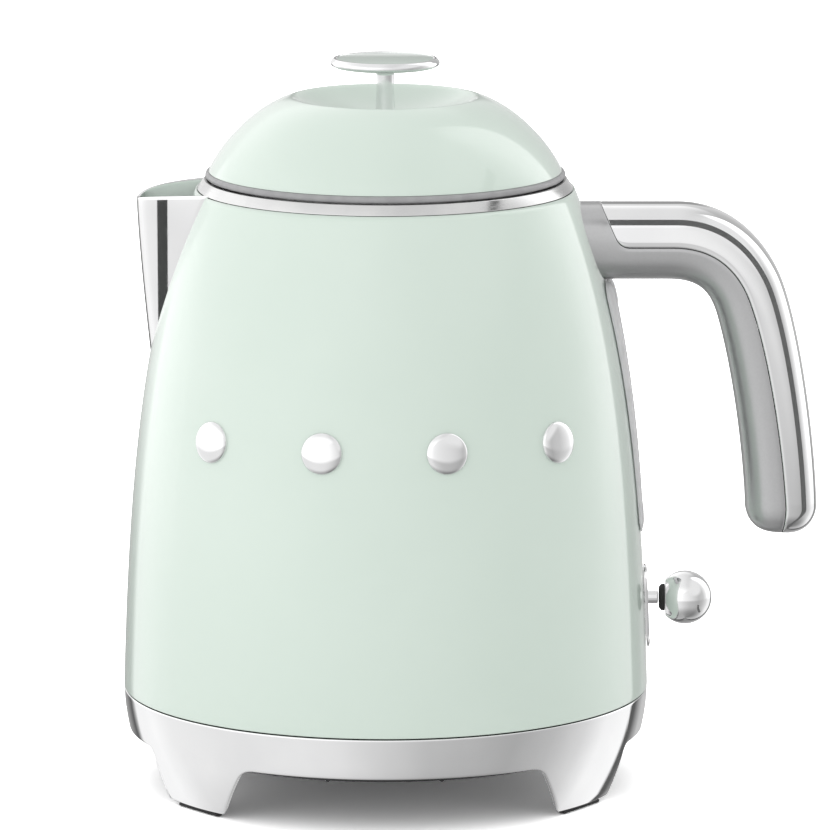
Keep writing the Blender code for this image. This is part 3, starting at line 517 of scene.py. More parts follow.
def black_rubber():
    """Matt rubber with a dusty bloom."""
    f = Finish("black_rubber", (0.018, 0.018, 0.018), 0.0, 0.75)
    f.tint((0.014, 0.014, 0.014), (0.030, 0.030, 0.031), 400.0, 4.0)
    f.wear(0.65, 0.85, 800.0, 3.0)
    f.relief(0.00003, 0.6, 2500.0, 3.0)
    return f.material


def grey_silicone():
    """Satin grey sealing rubber."""
    f = Finish("grey_silicone", (0.33, 0.33, 0.335), 0.0, 0.36)
    f.tint((0.31, 0.31, 0.315), (0.35, 0.35, 0.355), 300.0, 3.0)
    f.wear(0.30, 0.44, 900.0, 2.0)
    f.relief(0.00001, 0.4, 2400.0, 2.0)
    return f.material


def clear_plastic():
    """Clear level pane, slightly smoky, with faint flow lines."""
    f = Finish("clear_plastic", (0.90, 0.92, 0.92), 0.0, 0.04, Transmission_Weight=0.85, IOR=1.49)
    f.tint((0.88, 0.91, 0.91), (0.93, 0.95, 0.95), 90.0, 2.0, (1, 1, 0.2))
    f.wear(0.03, 0.07, 300.0, 2.0)
    return f.material


def vessel_steel():
    """Stainless steel with a turned brushing."""
    f = Finish("vessel_steel", (0.66, 0.66, 0.66), 1.0, 0.2)
    f.tint((0.64, 0.64, 0.64), (0.68, 0.68, 0.675), 120.0, 3.0)
    f.wear(0.14, 0.24, 260.0, 5.0, (1, 1, 14))
    f.relief(0.000002, 0.4, 500.0, 4.0, (1, 1, 14))
    return f.material


def cast_aluminium():
    """Cast alloy with a coarse matt skin."""
    f = Finish("cast_aluminium", (0.62, 0.62, 0.63), 1.0, 0.48)
    f.tint((0.56, 0.56, 0.57), (0.68, 0.68, 0.69), 350.0, 4.0)
    f.wear(0.40, 0.58, 600.0, 3.0)
    f.relief(0.00005, 0.5, 1500.0, 3.0)
    return f.material


def contact_brass():
    """Brass contact strip, a little dulled."""
    f = Finish("contact_brass", (0.70, 0.52, 0.24), 1.0, 0.3)
    f.tint((0.62, 0.45, 0.20), (0.76, 0.58, 0.29), 500.0, 4.0)
    f.wear(0.22, 0.42, 900.0, 3.0)
    return f.material


MATERIALS = {
    maker.__name__: maker()
    for maker in (
        mint_enamel, polished_chrome, satin_grey_plastic, frosted_plastic, dark_plastic,
        black_rubber, grey_silicone, clear_plastic, vessel_steel, cast_aluminium, contact_brass,
    )
}


def finish_of(node):
    return MATERIALS[SLOT_OF[node]]


# Power base

def skirt_radius(z, top):
    depth = max(1 - z / top, 0.0)
    return SKIRT_TOP_RADIUS - SKIRT_LEAN * depth**SKIRT_LEAN_POWER


def foot_outline(bottom):
    """One foot as (distance along the skirt towards the front or back arch, height of the lower edge):
    an upright flank, a flat sole and a sloping flank, each running into the edge with a fillet."""
    corners = [
        (-0.0260, SKIRT_EDGE_Z), (FOOT_OUTER[0], SKIRT_EDGE_Z), (FOOT_OUTER[1], bottom),
        (0.0, bottom), (FOOT_INNER[0], bottom), (FOOT_INNER[1], SKIRT_EDGE_Z),
        (0.0340, SKIRT_EDGE_Z),
    ]
    outline = [Vector(corners[0])]
    reaches = (FOOT_ROOT_ROUND[0], FOOT_SOLE_ROUND, 0.0, FOOT_SOLE_ROUND, FOOT_ROOT_ROUND[1])
    for i, reach in enumerate(reaches):
        outline += rounded(corners[i : i + 3], reach, False, 8)[1:-1]
    return [*outline, Vector(corners[-1])]


def skirt_columns(bottom):
    """(angle, height of the lower edge) all round, close together where a foot's outline bends."""
    outline = foot_outline(bottom)
    dense = []
    for first, second in zip(outline, outline[1:]):
        pieces = max(1, math.ceil((second - first).length / COLUMN_LENGTH))
        dense += [first.lerp(second, k / pieces) for k in range(pieces)]
    dense.append(outline[-1])
    radius = skirt_radius(SKIRT_EDGE_Z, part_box("base_skirt")[1].z)
    columns = []
    for i, foot in enumerate(FOOT_ANGLES):
        to_arch = 1 if i % 2 == 0 else -1
        columns += [(foot + to_arch * p.x / radius, p.y) for p in dense[::to_arch]]
        following = FOOT_ANGLES[(i + 1) % 4] + (math.tau if i == 3 else 0.0)
        nearest = dense[-1].x if to_arch == 1 else -dense[0].x
        start, end = columns[-1][0], following - nearest / radius
        count = max(2, math.ceil((end - start) / COLUMN_ANGLE))
        columns += [(start + (end - start) * k / count, SKIRT_EDGE_Z) for k in range(1, count)]
    return columns


def base_skirt():
    """Chrome skirt with four feet, its wall closed and its edges rounded."""
    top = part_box("base_skirt")[1].z
    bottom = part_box("foot_pad_1")[1].z + 0.0001
    rows = []
    for angle, edge in skirt_columns(bottom):
        section = []
        count = 14
        for k in range(count):
            z = top + (edge - top) * k / (count - 1)
            section.append(Vector((skirt_radius(z, top), z)))
        inner = [Vector((p.x - SKIRT_WALL, p.y)) for p in section[::3]][::-1]
        ring = rounded(section + inner, SKIRT_EDGE_ROUND, True, 4)
        rows.append([(p.x * math.cos(angle), p.x * math.sin(angle), p.y) for p in ring])
    piece("base_skirt", "chrome", surface(rows, True, True), 60)


def screw_circle(radius):
    """Places of three screws, one of them towards the back."""
    angles = (math.radians(90 + 120 * i) for i in range(3))
    return [(radius * math.cos(a), radius * math.sin(a)) for a in angles]


def screw_posts(circle, radius, low, high):
    """Rods that three screws go into."""
    posts = []
    for x, y in screw_circle(circle):
        post = turned_shape(rod(radius, low, high), SMALL)
        bmesh.ops.translate(post, vec=(x, y, 0.0), verts=post.verts)
        posts.append(post)
    return posts


def base_deck():
    low, high = span("base_deck")
    floor = high - 0.0020
    outer, inner, hub, post = 0.0758, 0.0215, 0.0300, 0.0036
    lip, lip_z = 0.0716, high - 0.0002
    sunk, slope = high - 0.0007, 0.0006
    top = [(outer, lip_z), (lip, lip_z), (lip - slope, sunk), (hub, sunk), (hub - 2 * slope, high)]
    outline = [*top, (inner, high), (inner, floor), (outer, floor)]
    shapes = [turned_shape(rounded(outline, 0.0003)), *screw_posts(BASE_SCREW_CIRCLE, post, low, floor)]
    piece("base_deck", "grey", joined(shapes))


def base_pan():
    """Underside of the base: a low hub in the middle, ribs round it and a wall up at the edge."""
    low, high = span("base_pan")
    plate, wall, hub, radius = 0.0145, 0.0015, 0.0380, 0.0690
    rim, sunk = 0.0260, 0.0006
    outline = [
        (0.0, low + wall), (hub - wall, low + wall), (hub, plate + wall),
        (radius - wall, plate + wall), (radius - wall, high), (radius, high), (radius, plate),
        (hub + wall, plate), (hub, low), (rim, low), (rim - 0.0010, low + sunk), (0.0, low + sunk),
    ]
    shapes = [turned_shape(rounded(outline, 0.0006, False))]
    rib_size, rib_place, ribs = (0.0240, 0.0012, 0.0016), (0.0535, 0.0, plate - 0.0004), 12
    for i in range(ribs):
        rib = block_shape(rib_size, rib_place, 0.0003)
        turn = Matrix.Rotation(math.radians(360 / ribs * (i + 0.5)), 3, "Z")
        bmesh.ops.rotate(rib, cent=(0, 0, 0), matrix=turn, verts=rib.verts)
        shapes.append(rib)
    piece("base_pan", "black", joined(shapes))


def foot_pads():
    for i, angle in enumerate(FOOT_ANGLES):
        node = f"foot_pad_{i + 1}"
        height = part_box(node)[1].z
        shape = block_shape((*PAD_SIZE, height), (0, 0, height / 2), 0.0004)
        pad = made(f"{node}_rubber", shape, finish_of(node))
        pad.location = AXIS + Vector((math.cos(angle), math.sin(angle), 0.0)) * PAD_CIRCLE
        pad.rotation_euler.z = angle
        stand_for(pad, node)


def cord_grommet():
    bore, barrel, flange, length, thickness = 0.0033, 0.0048, 0.0055, 0.0060, 0.0020
    outline = [(barrel, -length), (barrel, 0.0), (flange, 0.0), (flange, thickness)]
    outline += [(bore, thickness), (bore, -length)]
    turned("cord_grommet", "rubber", outline, SMALL, 0.0004, (CORD_OUTLET, (0, 1, 0)))


def base_connector():
    """Flanged tower with a hole for the pin and a groove for the inner ring, and its loose shutter."""
    low, high = span("base_connector")
    flange, pin_floor, ring_floor = low + 0.0022, 0.0260, 0.0280
    outline = [(0.0, pin_floor), (0.0030, pin_floor), (0.0030, high), (0.0046, high)]
    outline += [(0.0046, ring_floor), (0.0064, ring_floor), (0.0064, high), (0.0090, high)]
    outline += [(0.0090, flange), (0.0240, flange), (0.0240, low), (0.0, low)]
    turned("base_connector", "black", outline, ROUND, 0.0004)
    turned("connector_shutter", "black", tube(0.0210, 0.0105, 0.0250, 0.0294), ROUND, 0.0006)


def base_contacts():
    low, high, radius = 0.0263, 0.0400, 0.0016
    pin = [(0.0, high), (radius / 2, high), (radius, high - 0.0012), (radius, low), (0.0, low)]
    turned("pin_contact", "brass", pin, SMALL, 0.0002)
    turned("inner_ring_contact", "brass", tube(0.0059, 0.0051, 0.0283, 0.0355), SMALL, 0.0002)
    turned("outer_ring_contact", "brass", tube(0.0100, 0.0093, 0.0250, 0.0330), SMALL, 0.0002)


# Screws

def screw(node, size, seat, direction=(0, 0, 1)):
    """Domed screw with a crossed recess, its head ending at the seat."""
    head_radius, head_length, radius, length = size
    outline = [
        (0.0, -head_length), (0.5 * head_radius, -head_length),
        (0.85 * head_radius, -0.75 * head_length), (head_radius, -0.2 * head_length),
        (head_radius, 0.0), (radius, 0.0), (radius, length), (0.0, length),
    ]
    head = made(f"{node}_steel", turned_shape(rounded(outline, 0.0003, False), SMALL), finish_of(node))
    slot, width = 1.1 * head_radius, 0.24 * head_radius
    bars = ((slot, width, head_length), (width, slot, head_length))
    cutter = joined([block_shape(bar, (0, 0, -head_length), 0.0001, 1) for bar in bars])
    tool = made(f"{node}_recess", cutter, finish_of(node))
    tool.location = (0, 0, 0)
    head.location = (0, 0, 0)
    cut = head.modifiers.new("Recess", "BOOLEAN")
    cut.operation = "DIFFERENCE"
    cut.solver = "EXACT"
    cut.use_self = True
    cut.object = tool
    bpy.context.view_layer.update()
    evaluated = head.evaluated_get(bpy.context.evaluated_depsgraph_get())
    mesh = bpy.data.meshes.new_from_object(evaluated)
    head.modifiers.clear()
    head.data = mesh
    bpy.data.objects.remove(tool)
    pose_at(head, seat, direction)
    stand_for(head, node)


def all_screws():
    for first, size, circle in (
        ("base_screw", BASE_SCREW, BASE_SCREW_CIRCLE),
        ("underside_screw", COVER_SCREW, COVER_SCREW_CIRCLE),
    ):
        seat_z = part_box(f"{first}_1")[0].z + size[1]
        for i, (x, y) in enumerate(screw_circle(circle)):
            screw(f"{first}_{i + 1}", size, (x, y, seat_z))
    for i, z in enumerate(HANDLE_SCREW_Z):
        normal = body_normal(z)
        seat = on_body(0.0, z, -HANDLE_SCREW_SINK)
        screw(f"handle_screw_{i + 1}", HANDLE_SCREW, seat, (normal.x, 0, normal.y))
    screw("knob_screw", KNOB_SCREW, (0, 0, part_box("knob_screw")[0].z + KNOB_SCREW[1]))


# Body, neck and spout

def body_shell():
    """Painted wall, its port and slots left open between columns of the grid."""
    heights = {*PORT_Z, *WINDOW_SLOT_Z, *LEVER_SLOT_Z}
    low = BODY_CURVE[3][1]
    steps = 72
    for i in range(steps):
        z = bezier(BODY_CURVE, i / steps).y
        if z > low + 2 * BODY_EDGE_ROUND and min(abs(z - h) for h in heights) > 0.0005:
            heights.add(z)
    profile = [Vector((body_radius(z), z)) for z in sorted(heights, reverse=True)]
    edge = Vector((body_radius(low), low))
    profile += rounded([profile[-1], edge, edge - Vector((0.0010, 0.0))], BODY_EDGE_ROUND, False, 5)[1:]
    rows = []
    for point in profile:
        angles = (math.tau * j / FINE for j in range(FINE))
        rows.append([(point.x * math.cos(a), point.x * math.sin(a), point.y) for a in angles])

    def keep(i, j):
        middle = (profile[i].y + profile[min(i + 1, len(profile) - 1)].y) / 2
        from_handle = min(j + 0.5, FINE - j - 0.5)
        from_spout = abs(j + 0.5 - FINE / 2)
        in_port = from_spout < PORT_COLUMNS and PORT_Z[0] < middle < PORT_Z[1]
        in_window = from_handle < WINDOW_COLUMNS and WINDOW_SLOT_Z[0] < middle < WINDOW_SLOT_Z[1]
        in_slot = from_handle < LEVER_COLUMNS and LEVER_SLOT_Z[0] < middle < LEVER_SLOT_Z[1]
        return not (in_port or in_window or in_slot)

    shell = piece("body_shell", "mint", surface(rows, False, True, False, keep))
    wall = shell.modifiers.new("Wall", "SOLIDIFY")
    wall.thickness = BODY_WALL
    wall.offset = -1.0
    wall.use_even_offset = True


def neck_band():
    low, high = span("neck_band")
    inner, neck, brim, brim_z = 0.0534, 0.0550, 0.0564, 0.1813
    outline = [(0.0544, high), (brim, brim_z), (neck, brim_z), (neck, low), (inner, low), (inner, high)]
    turned("neck_band", "steel", outline)


def spout_point(u, z_share):
    """Point of the spout's pointed plan at a share of the height up to its rim."""
    y = u * SPOUT_HALF_WIDTH
    along = y**2 / SPOUT_SPREAD + y**6 / SPOUT_CURL**5
    rim = SPOUT_TIP_Z + SPOUT_RIM_RISE * (math.hypot(y, SPOUT_NOSE_RADIUS) - SPOUT_NOSE_RADIUS)
    z = SPOUT_BOTTOM_Z + (rim - SPOUT_BOTTOM_Z) * z_share
    return Vector((SPOUT_TIP_X + SPOUT_LEAN * (1 - z_share) ** 1.3 + along, y, z))


def outside_body(point, sink):
    return math.hypot(point.x, point.y) > body_radius(min(point.z, BODY_CURVE[0][1])) - sink


def spout():
    """Folded chrome spout whose two sides run into the body's wall."""
    sink = 0.0006
    lowest = halve(1.0, 0.0, lambda v: outside_body(spout_point(0.0, v), sink))
    rows = []
    for i in range(49):
        v = lowest + (1.0 - lowest) * i / 48
        widest = halve(0.0, 1.0, lambda u: outside_body(spout_point(u, v), sink))
        rows.append([spout_point(widest * (2 * j / 64 - 1), v) for j in range(65)])
    shell = piece("spout", "chrome", surface(rows), 60)
    wall = shell.modifiers.new("Wall", "SOLIDIFY")
    wall.thickness = SPOUT_WALL
    wall.offset = -1.0
    edge = shell.modifiers.new("Edge", "BEVEL")
    edge.width = 0.0003
    edge.segments = 3
    edge.limit_method = "ANGLE"
    edge.angle_limit = math.radians(60)


# Plates that follow the body's side

def plate_loop(half_width, low, high, corner, count):
    """Points (across, height) round a plate with rounded corners, evenly by corner."""
    loop = []
    centres = [(1, 1, 0), (-1, 1, 90), (-1, -1, 180), (1, -1, 270)]
    middle, half_height = (low + high) / 2, (high - low) / 2
    for sx, sy, start in centres:
        centre = (sx * (half_width - corner), middle + sy * (half_height - corner))
        loop += arc(centre, corner, start, start + 90, count)
    return loop


def densified(loop, longest):
    """The loop with its long straight stretches divided."""
    result = []
    for i, point in enumerate(loop):
        following = loop[(i + 1) % len(loop)]
        pieces = max(1, math.ceil((following - point).length / longest))
        result += [point.lerp(following, k / pieces) for k in range(pieces)]
    return result


def body_ring(node, word, outer, inner, profile, angle=0.0, corner=(0.006, 0.003)):
    """A frame on the body's side: outer and inner are (half width, low, high), the profile is
    (share from inner to outer, height off the paint at share of the plate's height)."""
    big = plate_loop(*outer, corner[0], 9)
    small = plate_loop(*inner, corner[1], 9)
    rows = []
    count = len(big)
    for i in range(count):
        for k in range(6 if i % 9 == 8 else 1):
            t = k / 6
            a = big[i].lerp(big[(i + 1) % count], t)
            b = small[i].lerp(small[(i + 1) % count], t)
            ring = []
            for share, lift in profile:
                flat = b.lerp(a, share)
                height = lift(flat.y) if callable(lift) else lift
                ring.append(on_body(angle + flat.x / body_radius(flat.y), flat.y, height))
            rows.append(ring)
    piece(node, word, surface(rows, True, True), 45)


def body_patch(node, word, size, corner, heights):
    """A plate on the body's side between two distances off the paint, with rounded edges."""
    half_width, low, high = size
    back, front = heights
    rows = []
    for share, height in ((1.0, back), (1.0, front - 0.0003), (0.985, front - 0.0001), (0.95, front)):
        loop = densified(plate_loop(half_width, low, high, corner, 7), 0.003)
        middle = Vector((0.0, (low + high) / 2))
        inset = (1 - share) * half_width
        row = []
        for point in loop:
            away = Vector((point.x, max(abs(point.y - middle.y) - (high - low) / 2 + half_width, 0)))
            away.y = math.copysign(away.y, point.y - middle.y)
            flat = point - away.normalized() * inset if away.length > 0 else point
            row.append(on_body(flat.x / body_radius(flat.y), flat.y, height))
        rows.append(row)
    piece(node, word, surface(rows, False, True, True), 45)


def level_window():
    low, high = 0.0772, 0.1535

    def proud(z):
        return 0.0012 + 0.0014 * (z - low) / (high - low)

    profile = [
        (0.0, 0.0004), (0.0, lambda z: proud(z) - 0.0006), (0.06, lambda z: proud(z) - 0.0001),
        (0.20, proud), (0.60, proud), (0.82, lambda z: proud(z) - 0.0003),
        (0.96, lambda z: proud(z) - 0.0010), (1.0, lambda z: max(proud(z) - 0.0018, 0.0006)),
        (1.0, 0.0003),
    ]
    body_ring("window_frame", "pearl", (0.0110, low, high), (0.0060, 0.0850, 0.1460), profile)
    body_patch("water_window", "clear", (0.0046, 0.0854, 0.1456), 0.0012, (-0.0010, 0.0012))


def lever_plate():
    low, high = span("lever_plate")
    profile = [(0.0, 0.0003), (0.0, 0.0009), (0.08, 0.0011), (0.88, 0.0012), (1.0, 0.0008)]
    profile.append((1.0, 0.0003))
    slot = (0.0026, *LEVER_SLOT_Z)
    size = (0.0055, low + 0.0002, high - 0.0002)
    body_ring("lever_plate", "chrome", size, slot, profile, corner=(0.0045, 0.0012))


def front_studs():
    """Four plain domed studs, each sunk a little into the paint all round."""
    sunk = -0.0008
    bend = (Vector((0.0, 1.0)), Vector((0.6, 1.0)), Vector((0.95, 0.7)), Vector((1.0, 0.15)))
    crown = bezier_points([p * Vector((STUD_RADIUS, STUD_PROUD)) for p in bend], 12)
    outline = [*crown, Vector((STUD_RADIUS, sunk)), Vector((0.0, sunk))]
    normal = body_normal(STUD_Z)
    for i, angle in enumerate(STUD_ANGLES):
        node = f"front_stud_{i + 1}"
        direction = (normal.x * math.cos(angle), normal.x * math.sin(angle), normal.y)
        piece(node, "chrome", turned_shape(outline, ROUND), 40, (on_body(angle, STUD_Z, 0.0), direction))


# Handle

def seam_share_on_arm(x):
    """Height share of the line between core and cover on the straight arm."""
    corner = (SEAM_CORNER_X, SEAM_Z)
    line = rounded([COVER_START, corner, (SEAM_CORNER_X + 0.008, SEAM_Z)], 0.0032, False, 10)
    for first, second in zip(line, line[1:]):
        if first.x <= x <= second.x:
            z = first.y + (second.y - first.y) * (x - first.x) / max(second.x - first.x, 1e-9)
            return (z - HANDLE_LOW_Z) / (HANDLE_TOP_Z - HANDLE_LOW_Z)
    return SEAM_ARM


def handle_stations():
    """(inner point, outer point, seam share) along the handle, down to the end of its drop."""
    stations = []
    start, end = COVER_START[0], SEAM_CORNER_X + 0.005
    for i in range(30):
        x = start + (end - start) * i / 29
        inner, outer = Vector((x, HANDLE_LOW_Z)), Vector((x, HANDLE_TOP_Z))
        stations.append((inner, outer, seam_share_on_arm(x)))
    for i in range(1, 6):
        inner = stations[29][0].lerp(Vector(BEND_INNER[0]), i / 6)
        outer = stations[29][1].lerp(Vector(BEND_OUTER[0]), i / 6)
        stations.append((inner, outer, SEAM_ARM))
    for i in range(36):
        t = i / 35
        seam = SEAM_ARM + (SEAM_BEND_END - SEAM_ARM) * smooth_step(t)
        stations.append((bezier(BEND_INNER, t), bezier(BEND_OUTER, t), seam))
    for i in range(1, 33):
        t = i / 32
        seam = SEAM_BEND_END + (SEAM_TIP - SEAM_BEND_END) * t
        stations.append((bezier(DROP_INNER, t), bezier(DROP_OUTER, t), seam))
    return stations


def tip_stations(inner, outer):
    """Rounded end below the last pair of edge points, with how far each is drawn in."""
    down = Vector((outer.y - inner.y, inner.x - outer.x)).normalized()
    across = (outer - inner).normalized()
    stations = []
    for i in range(1, 17):
        angle = math.radians(90) * i / 16
        shift = down * TIP_DEPTH * math.sin(angle)
        inset = TIP_ROUND * (1 - math.cos(angle))
        stations.append((inner + shift + across * inset, outer + shift - across * inset, inset))
    return stations


def section_point(inner, outer, angle, side, half_width):
    along = math.copysign(abs(math.sin(angle)) ** (2 / SECTION_POWER), math.sin(angle))
    width = half_width * abs(math.cos(angle)) ** (2 / SECTION_POWER)
    point = (inner + outer) / 2 + (outer - inner) / 2 * along
    return Vector((point.x, side * width, point.y))


def share_angle(share):
    along = min(max(2 * share - 1, -1.0), 1.0)
    return math.asin(math.copysign(abs(along) ** (SECTION_POWER / 2), along))


def seam_floor(corner, inner, outer, shift):
    """Point further in across the handle and nearer to the other part, which closes the seam."""
    towards = (outer - inner).normalized() * shift
    y = math.copysign(max(abs(corner.y) - SEAM_DEPTH, 0.4 * abs(corner.y)), corner.y)
    return Vector((corner.x + towards.x, y, corner.z + towards.y))


def handle_ring(inner, outer, low, high, half_width, shift=0.0):
    """Closed ring of a part of the section, from share low to share high, with a softened seam edge."""
    start, end = share_angle(low), share_angle(high)
    ease = SEAM_EASE / (outer - inner).length
    half = [(start + (end - start) * i / SECTION_STEPS, 1.0) for i in range(SECTION_STEPS + 1)]
    if low > 0.0:
        half[0] = (share_angle(low + ease), 1.0)
        half.insert(0, (share_angle(low + NEAR_EDGE * ease), NEAR_EDGE_PULL))
        half.insert(0, (share_angle(low), EDGE_PULL))
    if high < 1.0:
        half[-1] = (share_angle(high - ease), 1.0)
        half.append((share_angle(high - NEAR_EDGE * ease), NEAR_EDGE_PULL))
        half.append((share_angle(high), EDGE_PULL))
    sides = []
    for side in (1, -1):
        points = [section_point(inner, outer, angle, side, half_width * pull) for angle, pull in half]
        if low > 0.0:
            points.insert(0, seam_floor(points[0], inner, outer, -shift))
        if high < 1.0:
            points.append(seam_floor(points[-1], inner, outer, shift))
        sides.append(points)
    return sides[0] + sides[1][::-1]


def handle():
    """Chrome cover and grey core, with a shallow groove between them all the way round, its faces black rubber as
    painted shade.
    """
    stations = [(inner, outer, HANDLE_HALF_WIDTH, seam) for inner, outer, seam in handle_stations()]
    for inner, outer, inset in tip_stations(*stations[-1][:2]):
        stations.append((inner, outer, HANDLE_HALF_WIDTH - inset, SEAM_TIP))
    core_rings = []
    cover_rings = []
    for inner, outer, half_width, seam in stations:
        length = (outer - inner).length
        low = min(seam + SEAM_GAP / 2 / length, 0.998)
        top = min(seam - SEAM_GAP / 2 / length, 0.997)
        shift = max((low - top) * length / 2 - SEAM_CLOSED / 2, 0.0)
        cover_rings.append(handle_ring(inner, outer, low, 1.0, half_width, shift))
        core_rings.append(handle_ring(inner, outer, 0.0, top, half_width, shift))
    last = len(cover_rings[0]) - 1
    # The cover's faces in the groove take the second material, black rubber, as painted shade.
    cover = surface(cover_rings, False, True, True, None, lambda i, j: j in (0, last - 1, last))
    root = root_rings(core_rings[0])
    half = len(core_rings[0]) // 2

    # Core faces in the groove take black rubber as painted shade.
    def in_painted_shade_groove(i, j):
        return i >= len(root) and abs(j - half + 1) < 2

    core = surface(root + core_rings, False, True, True, None, in_painted_shade_groove)
    for part in (piece("handle_cover", "chrome", cover, 50), piece("handle_core", "grey", core, 50)):
        # Black rubber as the second material is painted shade on the groove faces.
        part.data.materials.append(MATERIALS["black_rubber"])
        kept_out_of_the_paint(part)


def root_rings(first):
    """Rings that carry the core's first section back to the painted wall, point for point."""
    rings = []
    steps = 9
    for i in range(steps):
        t = i / steps
        ring = []
        floor = HANDLE_LOW_Z + BOSS_CHAMFER * max(0.0, 1 - t * 2.5)
        for point in first:
            z = max(point.z, floor)
            wall_x = math.sqrt((body_radius(z) - 0.0005) ** 2 - point.y**2)
            ring.append(Vector((wall_x + (point.x - wall_x) * t, point.y, z)))
        rings.append(ring)
    return rings


# Inside of the kettle

def filter_set():
    """Spout filter: a moulded frame and a woven steel mesh that lies in it."""
    off, back, frame_width = -0.00155, -0.00155 - 0.0014, 0.004
    low, high = FILTER_Z
    profile = [(0.0, off), (0.0, back), (1.0, back), (1.0, off)]
    outer = (FILTER_HALF_WIDTH, low, high)
    inner = (FILTER_HALF_WIDTH - frame_width, low + frame_width, high - frame_width)
    body_ring("filter_frame", "grey", outer, inner, profile, math.pi, (0.003, 0.0015))
    inset = 0.0042
    half_width, bottom, top = FILTER_HALF_WIDTH - inset, low + inset, high - inset
    middle, wire, pitch, wave = off - 0.0007, 0.00016, 0.0010, 0.00017
    across = int(2 * half_width / pitch)
    upright = int((top - bottom) / pitch)
    shapes = []

    def woven(places, lift):
        line = []
        for i, (y, z) in enumerate(places):
            line.append(on_body(math.pi + y / body_radius(z), z, middle + lift(i)))
        shapes.append(surface(tube_rows(line, wire, 5), False, True, True))

    for i in range(across + 1):
        y = -half_width + 2 * half_width * i / across
        heights = (bottom + (top - bottom) * k / (4 * upright) for k in range(4 * upright + 1))
        woven([(y, z) for z in heights], lambda k: wave * math.cos(math.pi * k / 4 + math.pi * i))
    for k in range(upright + 1):
        z = bottom + (top - bottom) * k / upright
        sides = (-half_width + 2 * half_width * i / (4 * across) for i in range(4 * across + 1))
        woven([(y, z) for y in sides], lambda i: -wave * math.cos(math.pi * i / 4 + math.pi * k))
    piece("filter_mesh", "woven", joined(shapes), 70)


def heater_plate():
    """Vessel floor: flat disc with a turned-up rim, and the studs that the cover screws into."""
    floor, rim_z, thickness = 0.0700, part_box("heater_plate")[1].z, 0.001
    stud, head, foot = 0.0034, 0.0705, 0.0326
    rim = body_radius(rim_z) - BODY_WALL - INSIDE_GAP
    radius = body_radius(floor) - BODY_WALL - INSIDE_GAP
    outline = [
        (0.0, floor + thickness), (radius - 0.004, floor + thickness), (rim - thickness, rim_z),
        (rim, rim_z), (radius, floor), (0.0, floor),
    ]
    shapes = [turned_shape(rounded(outline, 0.0012, False))]
    shapes += screw_posts(COVER_SCREW_CIRCLE, stud, foot, head)
    piece("heater_plate", "steel", joined(shapes))


def steam_tube():
    outline = tube(0.0035, 0.0026, *span("steam_tube"))
    turned("steam_tube", "steel", outline, SMALL, 0.0003, (STEAM_TUBE_PLACE, (0, 0, 1)))


def underside():
    """Cover and socket seen from below when the kettle is lifted off."""
    low, rim_z = span("underside_cover")
    radius = body_radius(rim_z) - BODY_WALL - INSIDE_GAP
    wall, groove, slope = 0.0020, 0.0008, 0.0006
    outer, inner, hole = 0.0700, 0.0524, 0.0198
    cover = [
        (radius, rim_z), (radius, low), (outer, low), (outer - slope, low + groove),
        (inner + slope, low + groove), (inner, low), (hole, low), (hole, low + wall),
        (radius - wall, low + wall), (radius - wall, rim_z),
    ]
    turned("underside_cover", "black", cover)
    bottom, top = span("kettle_socket")
    radius, mouth, bore, ceiling = 0.0195, 0.0118, 0.0105, 0.0430
    socket = [(0.0, top), (radius, top), (radius, bottom), (mouth, bottom)]
    socket += [(bore, bottom + 0.0014), (bore, ceiling), (0.0, ceiling)]
    turned("kettle_socket", "black", socket, ROUND)


# Lid

def lid():
    dish = bezier_points(DISH_CURVE, 16)
    dome = bezier_points(DOME_CURVE, 44)
    lip = rounded([dish[-2], dish[-1], Vector((0.0282, 0.2090)), dome[0], dome[1]], 0.0006, False, 5)
    outer = dish[:-2] + lip + dome[2:]
    inner = offset_outline(outer, -LID_WALL)
    inner[0].x = outer[0].x
    inner[-1].y = outer[-1].y
    piece("lid_shell", "mint", turned_shape(outer + inner[::-1]))

    low, bead_high = span("lid_rim")
    bead_low = low - 0.0002
    middle, half = (bead_low + bead_high) / 2, (bead_high - bead_low) / 2
    nose = arc((RIM_RADIUS, middle), half, 90, -90, 14)
    bead = [Vector((RIM_ROOT, bead_high)), *nose, Vector((RIM_ROOT, bead_low))]
    piece("lid_rim", "silicone", turned_shape(bead))

    wall, sunk, top = 0.0012, PLUG_BOTTOM_Z + 0.0008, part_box("lid_liner")[1].z
    liner = [
        (0.0, PLUG_BOTTOM_Z + wall), (PLUG_RADIUS - wall, PLUG_BOTTOM_Z + wall),
        (PLUG_RADIUS - wall, top), (PLUG_RADIUS, top), (PLUG_RADIUS, PLUG_BOTTOM_Z),
        (0.0340, PLUG_BOTTOM_Z), (0.0332, sunk), (0.0, sunk),
    ]
    turned("lid_liner", "steel", liner, FINE, 0.0007)
    seal = [(RIM_RADIUS, 0.1822), (RIM_RADIUS, 0.1806), (RIM_ROOT, 0.1796), (RIM_ROOT, 0.1832)]
    turned("lid_seal", "silicone", seal, FINE, 0.0004)


def knob():
    low, high = span("knob_disc")
    edge = (low + high) / 2
    recess = 0.0007
    disc = [
        (0.0, high - recess), (INSET_RADIUS + 0.0002, high - recess), (INSET_RADIUS + 0.0002, high),
        (KNOB_RADIUS - 0.0009, high), (KNOB_RADIUS, edge + 0.0006), (KNOB_RADIUS, edge - 0.0004),
        (KNOB_RADIUS - 0.0014, low + 0.0004), (0.0080, low), (0.0, low),
    ]
    turned("knob_disc", "chrome", disc, ROUND, 0.0006)
    turned("knob_inset", "mint", rod(INSET_RADIUS, high - 0.0006, high - 0.0002), ROUND)
    foot, top = span("knob_stem")
    stem = [
        (0.0, top), (0.0034, top), (0.0027, top - 0.0012), (0.0026, 0.2110), (0.0029, 0.2050),
        (0.0036, foot), (0.0022, foot), (0.0022, 0.2110), (0.0, 0.2110),
    ]
    turned("knob_stem", "chrome", stem, SMALL, 0.0004)


# Switch lever

